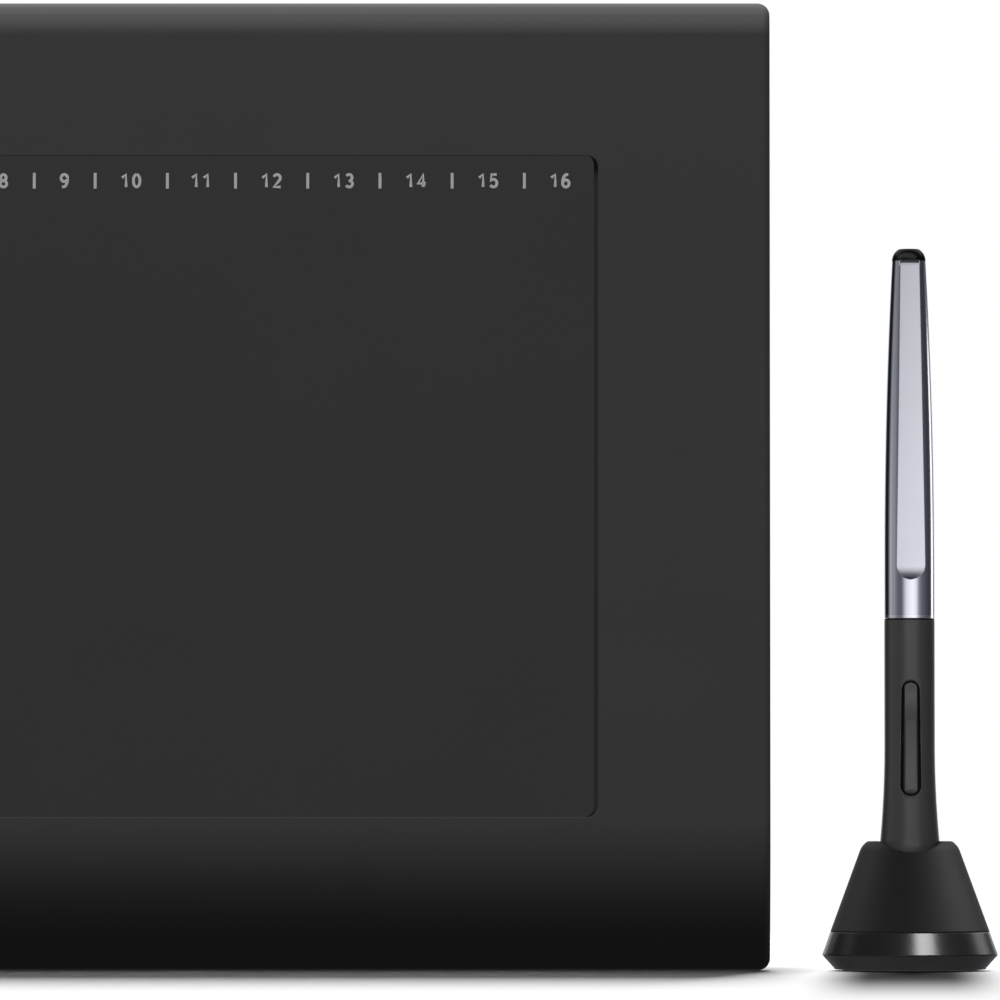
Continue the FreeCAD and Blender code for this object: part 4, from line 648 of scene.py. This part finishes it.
def make_sleeve():
    """The drawn sleeve, notched at its top for the clip's leg, and the bright lip at its foot."""
    tall, lip_top, inner = SLEEVE_TOP - SLEEVE_BEND, GRIP_TOP + LIP, BARREL - SLEEVE_WALL
    notch_half, notch_back, notch_room = 2.55, -3.05, 0.4
    upwards = [SLEEVE_BEND + tall * number / 32 for number in range(33)]
    downwards = [SLEEVE_TOP - tall * number / 12 for number in range(13)]
    outline = [(inner, lip_top), (BARREL, lip_top), (BARREL, GRIP_TOP + 1.5)]
    outline += [(sleeve_radius(z), z) for z in upwards]
    outline += [(sleeve_radius(z, SLEEVE_WALL), z) for z in downwards] + [(inner, lip_top)]
    piece = turned("metal_sleeve", outline, FINE_ROUND)
    notch_low = SLEEVE_TOP - CLIP_DROP - CLIP_THICK - notch_room
    notch = block("notch", (STAND_X - notch_half, -BARREL, notch_low),
                  (STAND_X + notch_half, notch_back, SLEEVE_TOP + 1))
    joined(piece, notch, "DIFFERENCE")
    finish(piece, "pen", gunmetal, "sleeve_metal", "pen_sleeve")
    lip = turned("sleeve_lip", [(inner, GRIP_TOP), (BARREL - 0.1, GRIP_TOP), (BARREL, GRIP_TOP + 0.1),
                                (BARREL, lip_top), (inner, lip_top), (inner, GRIP_TOP)], FINE_ROUND)
    finish(lip, "pen", turned_lip, "sleeve_metal")


def make_cap():
    """The end cap: a plug inside the sleeve and a low dome above it."""
    plug_low, chamfer = SLEEVE_TOP - 5.0, 0.08
    outline = [(0, plug_low), (CAP_PLUG, plug_low), (CAP_PLUG, SLEEVE_TOP)]
    outline += [(CAP_RADIUS - chamfer, SLEEVE_TOP)]
    outline += bow((CAP_RADIUS, SLEEVE_TOP + chamfer), (2.5, PEN_TOP), -0.45, 14)
    outline += [(2.3, PEN_TOP), (0, PEN_TOP)]
    piece = turned("end_cap", outline, 96)
    return finish(piece, "pen", gloss_black, "cap_gloss", "pen_cap")


def make_collar():
    """The collar that closes the grip's nose round the nib."""
    hole, low, shelf, top = 0.88, PEN_REST + 2.5, PEN_REST + 5.25, PEN_REST + 8.3
    outline = [(hole, low), (1.6, low)] + bow((1.7, low + 0.1), (GRIP_NOSE_RADIUS, GRIP_NOSE), -0.25, 10)
    outline += [(3.0, GRIP_NOSE), (3.0, top), (2.0, top), (2.0, shelf), (hole, shelf), (hole, low)]
    piece = turned("nib_collar_cone", outline, 64)
    return finish(piece, "pen", grip_elastomer, "grip_black", "nib_collar")


def make_nib():
    """The nib, a thin rod with a round end."""
    radius, end = 0.8, PEN_REST + 19.0
    outline = bow((0, PEN_REST), (radius, PEN_REST + radius), -0.234, 8) + [(radius, end), (0, end)]
    piece = turned("acetal_nib", outline, 48)
    return finish(piece, "nib", acetal, "nib_black", "pen_nib")


def make_clip():
    """A spring strip that leans away from the sleeve and turns in at its round end."""
    length, thick, half_blank = 79.0, 0.86, 7.2
    top = SLEEVE_TOP - CLIP_DROP
    low = top - length
    turn = low + 1.8
    back_top = -sleeve_radius(top) - 0.2
    back_low = -sleeve_radius(turn) - 1.25
    tip_y = -sleeve_radius(low) - 0.25
    leg_y = -CAP_PLUG - 0.2
    nose = (back_low - thick, low + 3.4)
    nose_end = (nose[0] + 0.22, low + 0.75)
    lip_y, lip_top = back_top - 0.02, top + 0.3
    outline = [(leg_y, top), (lip_y, top), (lip_y, lip_top), (back_top - 0.4, lip_top)]
    outline += bow((back_top - thick, top - 0.45), nose, -0.6, 150)
    outline += bow(nose, nose_end, -0.055, 12)[1:]
    outline += bow(nose_end, (tip_y - 0.36, low), -0.34, 12)[1:]
    outline += bow((tip_y, low + 0.36), (back_low, turn), -0.2, 10)
    outline += bow((back_low, turn), (back_top, top - CLIP_THICK), 0.6, 40)[1:]
    outline += [(leg_y, top - CLIP_THICK)]
    strip = pushed("spring_clip", outline, STAND_X - half_blank, STAND_X + half_blank, "X")
    front = pushed("front", long_slot(low, 3.6, top + 2.4, 2.4), -11.0, 0.0, "Y")
    joined(strip, front, "INTERSECT")
    edit(strip, "FACE")
    pick(strip, "faces", lambda face: face.normal.y < -0.98)
    bpy.ops.mesh.inset(thickness=0.45 * MM, depth=0.04 * MM)
    tidy_mesh()
    softened(strip, 0.1, 2, 60)
    return finish(strip, "clip", satin_chrome, "clip_silver", "pen_clip", angle=20)


def make_rocker():
    """A rocking button: a raised ridge along its lower part and a scoop at its top."""
    low, high, half_blank, narrowed = PEN_REST + 30.8, PEN_REST + 58.3, 2.6, 0.82
    ridge_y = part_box("rocker_button")[0].y / MM
    skin_y, inside_y = -BARREL - 0.36, -BARREL + 2.05
    half_ridge, half_foot, slope = 1.5, 1.85, 1.1
    scoop = high - 7.2
    outline = [(inside_y, low)]
    outline += bow((skin_y, low), (ridge_y, low + 1.3), 0.25, 10)
    outline += bow((ridge_y, scoop - 2.25), (skin_y, high), -0.6, 20)
    outline += [(inside_y, high)]
    side = pushed("rocker", outline, STAND_X - half_blank, STAND_X + half_blank, "X")
    joined(side, pushed("front", long_slot(low, 2.1, high, 1.75), ridge_y - 1, inside_y, "Y"), "INTERSECT")
    roof = [(-half_ridge, ridge_y - 0.001), (half_ridge, ridge_y - 0.001), (half_foot, ridge_y + slope),
            (half_foot, inside_y), (-half_foot, inside_y), (-half_foot, ridge_y + slope)]
    roof = pushed("roof", [(STAND_X + a, b) for a, b in roof], low - 2, high + 2, "Z")
    edit(roof)
    pick(roof, "verts", lambda vertex: vertex.co.z > high * MM)
    bpy.ops.transform.resize(value=(narrowed, 1, 1), orient_type="GLOBAL",
                             center_override=(STAND_X * MM, 0, high * MM))
    bpy.ops.object.mode_set(mode="OBJECT")
    joined(side, roof, "INTERSECT")
    softened(side, 0.14, 3, 25)
    return finish(side, "rocker", rocker_abs, "grip_black", "rocker_button", angle=40)


def cone_radius(height):
    """Radius of the stand's slope at a height above the floor."""
    return SLOPE_LOW_RADIUS - (height - RING_LOW) * (SLOPE_LOW_RADIUS - SLOPE_HIGH_RADIUS) / SLOPE_TALL


def make_cone():
    """The hollow cone, with the pen's socket and a saddle across its top for a lying pen."""
    top, roof, wall, seat, seat_radius = 32.0, 26.0, 1.8, 12.7, 17.31
    saddle_radius, saddle_depth, saddle_reach = 12.0, 2.7, 22.0
    foot = (cone_radius(RING_HIGH) - 0.15, RING_HIGH)
    outline = [foot] + [(cone_radius(z), z) for z in (9.75, 10.0, 28.4)]
    outline += bow((12.5, 29.3), (10.4, top), -0.32, 10)
    outline += [(8.0, top), (7.7, 31.8)] + bow((7.7, 31.5), (4.2, 20.0), 0.85, 16)
    outline += [(3.3, 18.12), (3.3, 8.6), (4.9, 8.6), (4.9, 18.12)]
    outline += [point for point in bow((5.8, 20.0), (9.3, 31.5), -0.85, 16) if point[1] < roof]
    outline += [(8.35, roof), (cone_radius(roof) - wall, roof), (cone_radius(seat) - wall, seat),
                (seat_radius, seat), (seat_radius, RING_HIGH), foot]
    piece = turned("cone_shell", outline, FINE_ROUND)
    groove = rod("groove", saddle_radius, STAND_X, top - saddle_depth + saddle_radius, -saddle_reach,
                 saddle_reach, 128)
    joined(piece, groove, "DIFFERENCE")
    softened(piece, 0.25, 3, 32)
    return finish(piece, "stand_cone", stand_abs, "stand_black", "stand_cone")


def make_ring():
    """The lacquered ring between the cone and the base, with softened rims."""
    low, high, inner, rim = RING_LOW, RING_HIGH, 17.26, 0.25
    outline = [(inner, low), (cone_radius(low) - 0.45, low)]
    outline += bow((cone_radius(low) - 0.2, low + 0.02), (cone_radius(low + rim), low + rim), -0.06, 4)
    outline += [(cone_radius(z), z) for z in (low + 0.35, low + 2, high - 2, high - 0.35)]
    outline += bow((cone_radius(high - rim), high - rim), (cone_radius(high) - 0.2, high), -0.06, 4)
    outline += [(inner, high), (inner, low)]
    piece = turned("gloss_band", outline, FINE_ROUND)
    return finish(piece, "root", ring_lacquer, "ring_gloss", "stand_ring", angle=50)


def make_base():
    """The base, a flared cup with a raised wall inside the ring."""
    foot, pocket, pocket_top, floor_top = 0.3, 16.9, 1.0, 2.2
    wall_out, wall_in, wall_top = 17.21, 15.81, 12.6
    outline = [(0, pocket_top), (pocket, pocket_top), (pocket, foot), (18.5, foot)]
    outline += bow((18.55, foot + 0.02), (18.8, foot + 0.3), -0.06, 4)
    outline += [(21.6, 3.7), (21.7, 3.85), (21.6, RING_LOW), (wall_out, RING_LOW), (wall_out, wall_top),
                (wall_in, wall_top), (wall_in, floor_top), (0, floor_top)]
    piece = turned("base_cup", outline, FINE_ROUND)
    # The base's paler colour is painted light, standing in for light that reaches it little
    return finish(piece, "root", base_abs_painted_lighter, "stand_black", "stand_base")


def make_pad():
    """The rubber pad underneath, with two moulded grooves."""
    radius, chamfer, thick, groove_depth = 16.8, 0.3, 1.0, 0.35
    outline = [(0, 0)]
    for groove in (9.0, 13.0):
        outline += [(groove - 0.5, 0), (groove - 0.3, groove_depth), (groove + 0.3, groove_depth),
                    (groove + 0.5, 0)]
    outline += [(radius - chamfer, 0), (radius, chamfer), (radius, thick), (0, thick)]
    piece = turned("grooved_pad", outline, 96)
    return finish(piece, "root", rubber, "rubber_black", "stand_pad")


make_case_front()
make_case_back()
make_sheet()
make_numbers()
make_keys()
make_screws()
make_feet()
make_grip()
make_sleeve()
make_cap()
make_collar()
make_nib()
make_clip()
make_rocker()
make_cone()
make_ring()
make_base()
make_pad()

# CAD pieces that keep their own solid take the finish of the real piece
carried = {
    solder_mask: ("sensor_board", "key_board", "controller_board"), black_mask: ("pen_board",),
    nickel: ("shield_plate", "lead_socket", "rocker_pin", "pressure_sensor", "nib_puller"),
    foam: ("foam_pad",), cable: ("sensor_cable", "key_cable"),
    part_polymer: ("key_switches", "side_switches", "pen_chassis", "nib_tray"),
    light_pipe: ("status_light",), ferrite: ("ferrite_core",), copper: ("antenna_coil",),
    cast_iron: ("stand_weight",), acetal: ("spare_nibs",),
}
for material, names in carried.items():
    for name in names:
        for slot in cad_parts[name].material_slots:
            slot.material = material


def make_floor():
    """White paper, lit by its own lamp so that it keeps the shadow, and plain white further out.

    A soft shade is also painted into its colour, forwards from the stand's foot and along the tablet's,
    and the darker of the two painted shades shows. Lengths in its nodes are metres.
    """
    lean = 0.049  # how far the stand's shade moves to the left for each metre forwards
    only()
    bpy.ops.mesh.primitive_plane_add(size=6, location=(0, 0, 0))
    floor = bpy.context.object
    floor.name = "paper_floor"
    paper = bpy.data.materials.new("white_paper_painted_shade")
    paper.use_nodes = True
    tree = paper.node_tree
    tree.nodes.clear()
    place = add_node(tree, "ShaderNodeTexCoord")
    split = add_node(tree, "ShaderNodeSeparateXYZ", {}, {0: (place, "Object")})
    # The stand's painted shade, faded sideways, forwards and behind
    middle = add_node(tree, MATH, {"operation": "MULTIPLY_ADD", 1: lean, 2: STAND_X * MM},
                      {0: (split, "Y")})
    offset = add_node(tree, MATH, {"operation": "SUBTRACT"}, {0: (split, "X"), 1: (middle, 0)})
    beside = add_node(tree, MATH, SIZE_OF, {0: (offset, 0)})
    across = add_node(tree, MAP_RANGE, {"From Min": 0.0265, "From Max": 0.009, **SOFT},
                      {"Value": (beside, 0)})
    near = add_node(tree, MAP_RANGE, {"From Min": -0.36, "From Max": -0.075, "To Max": 0.93, **SOFT},
                    {"Value": (split, "Y")})
    front = add_node(tree, MAP_RANGE, {"From Min": 0.03, "From Max": -0.02}, {"Value": (split, "Y")})
    under = add_node(tree, MATH, TIMES, {0: (near, 0), 1: (front, 0)})
    painted_stand_shade = add_node(tree, MATH, TIMES, {0: (under, 0), 1: (across, 0)})
    # The tablet's painted shade, to the left of the gap between the two
    depth = add_node(tree, MATH, SIZE_OF, {0: (split, "Y")})
    foot = add_node(tree, MAP_RANGE, {"From Min": 0.08, "From Max": 0.005, "To Max": 0.6, **SOFT},
                    {"Value": (depth, 0)})
    left = add_node(tree, MAP_RANGE, {"From Min": 0.168, "From Max": 0.15}, {"Value": (split, "X")})
    painted_tablet_shade = add_node(tree, MATH, TIMES, {0: (foot, 0), 1: (left, 0)})
    # The darker of the two painted shades darkens the paper's colour towards black
    shade = add_node(tree, MATH, LARGER, {0: (painted_stand_shade, 0), 1: (painted_tablet_shade, 0)})
    tone = add_node(tree, MIX, {**BLEND, 6: hue("#f2f2f2"), 7: hue("#000000")}, {0: (shade, 0)})
    matt = add_node(tree, "ShaderNodeBsdfDiffuse", {}, {"Color": (tone, 2)})
    # Further out the paper is plain white
    reach = add_node(tree, "ShaderNodeVectorMath", {"operation": "LENGTH"}, {0: (place, "Object")})
    outside = add_node(tree, MAP_RANGE, {"From Min": 0.45, "From Max": 0.7}, {"Value": (reach, "Value")})
    white = add_node(tree, "ShaderNodeEmission", {"Color": hue("#ffffff")})
    both = add_node(tree, "ShaderNodeMixShader", {},
                    {0: (outside, "Result"), 1: (matt, "BSDF"), 2: (white, "Emission")})
    add_node(tree, "ShaderNodeOutputMaterial", {}, {"Surface": (both, "Shader")})
    floor.data.materials.append(paper)
    floor.visible_diffuse = False
    floor.visible_glossy = False
    return floor


def make_lamp(name, azimuth, height, distance, width, tall, power, lights, seen=True, blockers=()):
    """A soft box aimed at the object's middle from an azimuth and a height angle, in degrees.

    Azimuth 0 is the camera's side and 90 the right. Distance and size are in metres, power in watts.
    It lights the pieces given and no others, and shows in their gloss where seen. With blockers,
    only those cast a shadow from it.
    """
    aim = Vector((0.0, 0.0, 0.1))
    turn, rise = math.radians(azimuth), math.radians(height)
    away = Vector((math.sin(turn) * math.cos(rise), -math.cos(turn) * math.cos(rise), math.sin(rise)))
    only()
    bpy.ops.object.light_add(type="AREA", location=aim + away * distance)
    lamp = bpy.context.object
    lamp.name = name
    lamp.data.shape = "RECTANGLE"
    lamp.data.size = width
    lamp.data.size_y = tall
    lamp.data.energy = power
    lamp.rotation_euler = (-away).to_track_quat("-Z", "Y").to_euler()
    lamp.visible_camera = False
    lamp.visible_glossy = seen
    group = bpy.data.collections.new(name + "_lights")
    for piece in lights:
        group.objects.link(piece)
    lamp.light_linking.receiver_collection = group
    if blockers:
        casters = bpy.data.collections.new(name + "_casters")
        for piece in blockers:
            casters.objects.link(piece)
        lamp.light_linking.blocker_collection = casters


# The studio as it shows in the polished sleeve: azimuth (0 is the camera's side, 90 the right), level at
# table height and level higher up. A broad soft box stands in front, a grey wall on the left, a dim one
# behind on the right and dark flags between them. Straight behind, the white background shows.
STUDIO = (
    (-178, 1.0, 1.0), (-157, 0.9, 0.9), (-148, 0.04, 0.04), (-128, 0.01, 0.01), (-118, 0.02, 0.01),
    (-112, 0.12, 0.03), (-105, 0.4, 0.16), (-96, 0.52, 0.32), (-76, 0.37, 0.27), (-62, 0.2, 0.14),
    (-46, 0.14, 0.1), (-36, 0.2, 0.12), (-28, 0.5, 0.28), (-18, 0.95, 0.5), (-2, 1.25, 0.7),
    (12, 1.38, 0.76), (26, 1.2, 0.66), (34, 0.78, 0.42), (42, 0.35, 0.22), (56, 0.17, 0.12),
    (72, 0.12, 0.08), (98, 0.05, 0.05), (112, 0.1, 0.06), (136, 0.3, 0.08), (150, 0.34, 0.1),
    (158, 0.9, 0.9), (178, 1.0, 1.0),
)
# Its light is a little blue, and bluer where the level is under COOL_BELOW
TINT, COOL_TINT, COOL_BELOW = (0.97, 0.98, 1.03), 0.12, 0.35


def make_world():
    """White to the camera, an even dim room to matt surfaces, and the studio in everything that shines."""
    world = bpy.data.worlds.new("studio")
    bpy.context.scene.world = world
    world.use_nodes = True
    tree = world.node_tree
    tree.nodes.clear()
    place = add_node(tree, "ShaderNodeTexCoord")
    split = add_node(tree, "ShaderNodeSeparateXYZ", {}, {0: (place, "Generated")})
    # The ring of the studio, its lower level blended into its higher one
    around = add_node(tree, "ShaderNodeTexGradient", {"gradient_type": "RADIAL"}, {0: (place, "Generated")})
    rings = []
    for storey in (1, 2):
        ring = add_node(tree, "ShaderNodeValToRGB", {}, {0: (around, "Fac")})
        stops = sorted(((0.25 + stop[0] / 360) % 1.0, stop[storey]) for stop in STUDIO)
        while len(ring.color_ramp.elements) < len(stops):
            ring.color_ramp.elements.new(0.5)
        for element, (where, level) in zip(ring.color_ramp.elements, stops):
            element.position = where
            cool = COOL_TINT * max(0.0, 1.0 - level / COOL_BELOW)
            shift = (-cool, -cool / 2, cool)
            element.color = [level * (base + more) for base, more in zip(TINT, shift)] + [1.0]
        rings.append(ring)
    raised = add_node(tree, MAP_RANGE, {"From Min": 0.05, "From Max": 0.12}, {"Value": (split, "Z")})
    ring = add_node(tree, MIX, BLEND, {0: (raised, 0), 6: (rings[0], "Color"), 7: (rings[1], "Color")})
    # The ring ends above, and below everywhere but at the sides and behind
    over = add_node(tree, MAP_RANGE, {"From Min": 0.42, "From Max": 0.22, **SOFT},
                    {"Value": (split, "Z")})
    under = add_node(tree, MAP_RANGE, {"From Min": -0.2, "From Max": -0.04, **SOFT},
                     {"Value": (split, "Z")})
    across = add_node(tree, MATH, SIZE_OF, {0: (split, "X")})
    aside = add_node(tree, MAP_RANGE, {"From Min": 0.22, "From Max": 0.42, **SOFT},
                     {"Value": (across, 0)})
    behind = add_node(tree, MAP_RANGE, {"From Min": 0.0, "From Max": 0.25, **SOFT},
                      {"Value": (split, "Y")})
    clear = add_node(tree, MATH, LARGER, {0: (aside, 0), 1: (behind, 0)})
    low_down = add_node(tree, MATH, LARGER, {0: (under, 0), 1: (clear, 0)})
    band = add_node(tree, MATH, TIMES, {0: (over, 0), 1: (low_down, 0)})
    # Elsewhere a dark room shows, and a pale wall high up behind
    above = add_node(tree, MAP_RANGE, {"From Min": 0.35, "From Max": 0.55, **SOFT},
                     {"Value": (split, "Z")})
    wall = add_node(tree, MATH, TIMES, {0: (above, 0), 1: (behind, 0)})
    room = add_node(tree, MIX, {**BLEND, 6: hue("#28292f"), 7: hue("#eeeeee")}, {0: (wall, 0)})
    shine = add_node(tree, MIX, BLEND, {0: (band, 0), 6: (room, 2), 7: (ring, 2)})
    path = add_node(tree, "ShaderNodeLightPath")
    seen = add_node(tree, MIX, {**BLEND, 7: hue("#626262")},
                    {0: (path, "Is Diffuse Ray"), 6: (shine, 2)})
    studio = add_node(tree, "ShaderNodeBackground", {}, {"Color": (seen, 2)})
    # The white background, for the camera and, straight behind, for metal and glass
    white = add_node(tree, "ShaderNodeBackground", {"Color": hue("#ffffff")})
    backdrop = add_node(tree, MAP_RANGE, {"From Min": 0.955, "From Max": 0.985},
                        {"Value": (split, "Y")})
    shown = add_node(tree, MATH, LARGER, {0: (path, "Is Glossy Ray"), 1: (path, "Is Transmission Ray")})
    mirrored = add_node(tree, MATH, TIMES, {0: (shown, 0), 1: (backdrop, 0)})
    bare = add_node(tree, MATH, LARGER, {0: (path, "Is Camera Ray"), 1: (mirrored, 0)})
    both = add_node(tree, "ShaderNodeMixShader", {},
                    {0: (bare, 0), 1: (studio, "Background"), 2: (white, "Background")})
    add_node(tree, "ShaderNodeOutputWorld", {}, {"Surface": (both, "Shader")})


floor = make_floor()
make_world()
bpy.context.view_layer.update()
pieces = [piece for piece in bpy.data.objects if piece.type == "MESH" and piece is not floor]
pen_and_stand = [piece for piece in pieces
                 if (piece.matrix_world @ Vector(piece.bound_box[0])).x > TABLET_RIGHT * MM]
tablet = [piece for piece in pieces if piece not in pen_and_stand]
for piece in tablet:
    piece.visible_glossy = False


def named(*names):
    """The pieces with these names."""
    return [piece for piece in pieces if piece.name in names]


cap, sleeve, shiny_ring = named("end_cap"), named("metal_sleeve", "sleeve_lip"), named("gloss_band")
matt_stand = named("cone_shell", "base_cup")
# The base would draw dark wedges on the paper beside it, so it casts no shadow from the paper's lamp
unshaded = named("base_cup", "gloss_band", "grooved_pad")
shade_casters = [piece for piece in pieces if piece not in unshaded]

# Azimuth, height, distance, width, height of the box, power and what it lights
make_lamp("overhead_box", 0, 80, 14.0, 8.0, 2.3, 8200, tablet)
make_lamp("paper_lamp", 171, 60, 3.0, 0.5, 1.43, 128, [floor], blockers=shade_casters)
make_lamp("front_box", -4, 4, 1.6, 0.9, 0.4, 20, pen_and_stand, seen=False)
make_lamp("cap_box", -15, 50, 1.3, 4.2, 1.0, 34, cap)
make_lamp("right_box", 90, 32, 1.6, 1.0, 0.9, 11.4, matt_stand)
make_lamp("left_box", -97, 30, 1.6, 2.0, 0.9, 5.2, matt_stand)
make_lamp("sleeve_edge_light", 121.5, 1.6, 1.6, 0.42, 0.29, 0.58, sleeve)
make_lamp("ring_light", 28, 40, 1.6, 0.64, 0.5, 19.5, shiny_ring)
make_lamp("ring_fill_light", 62, 40, 1.6, 1.2, 0.5, 1.2, shiny_ring)
make_lamp("ring_edge_light", 124, 20, 1.6, 1.1, 0.5, 3.0, shiny_ring)
make_lamp("ring_back_light", -147, 20, 1.6, 0.3, 0.5, 0.3, shiny_ring)
make_lamp("rear_box", 180, 25, 2.4, 1.4, 1.0, 40, pieces, seen=False)

# Level with the stand, from far enough that the edges stay parallel
LENS, SENSOR = 300.0, 36.0
FRAME_WIDTH = 0.24762  # of what the picture shows, at the pen's depth
CAMERA_X, CAMERA_HEIGHT, AIM_HEIGHT, PEN_Y = 0.08486, 0.04, 0.11648, -0.003
camera_data = bpy.data.cameras.new("long_lens")
camera_data.lens = LENS
camera_data.sensor_width = SENSOR
camera_data.clip_end = 50.0
camera = bpy.data.objects.new("long_lens", camera_data)
bpy.context.collection.objects.link(camera)
camera.location = (CAMERA_X, PEN_Y - FRAME_WIDTH * LENS / SENSOR, CAMERA_HEIGHT)
aim = Vector((CAMERA_X, PEN_Y, AIM_HEIGHT))
camera.rotation_euler = (aim - camera.location).to_track_quat("-Z", "Y").to_euler()
bpy.context.scene.camera = camera
bpy.context.scene.view_settings.view_transform = "Standard"

bpy.context.view_layer.update()
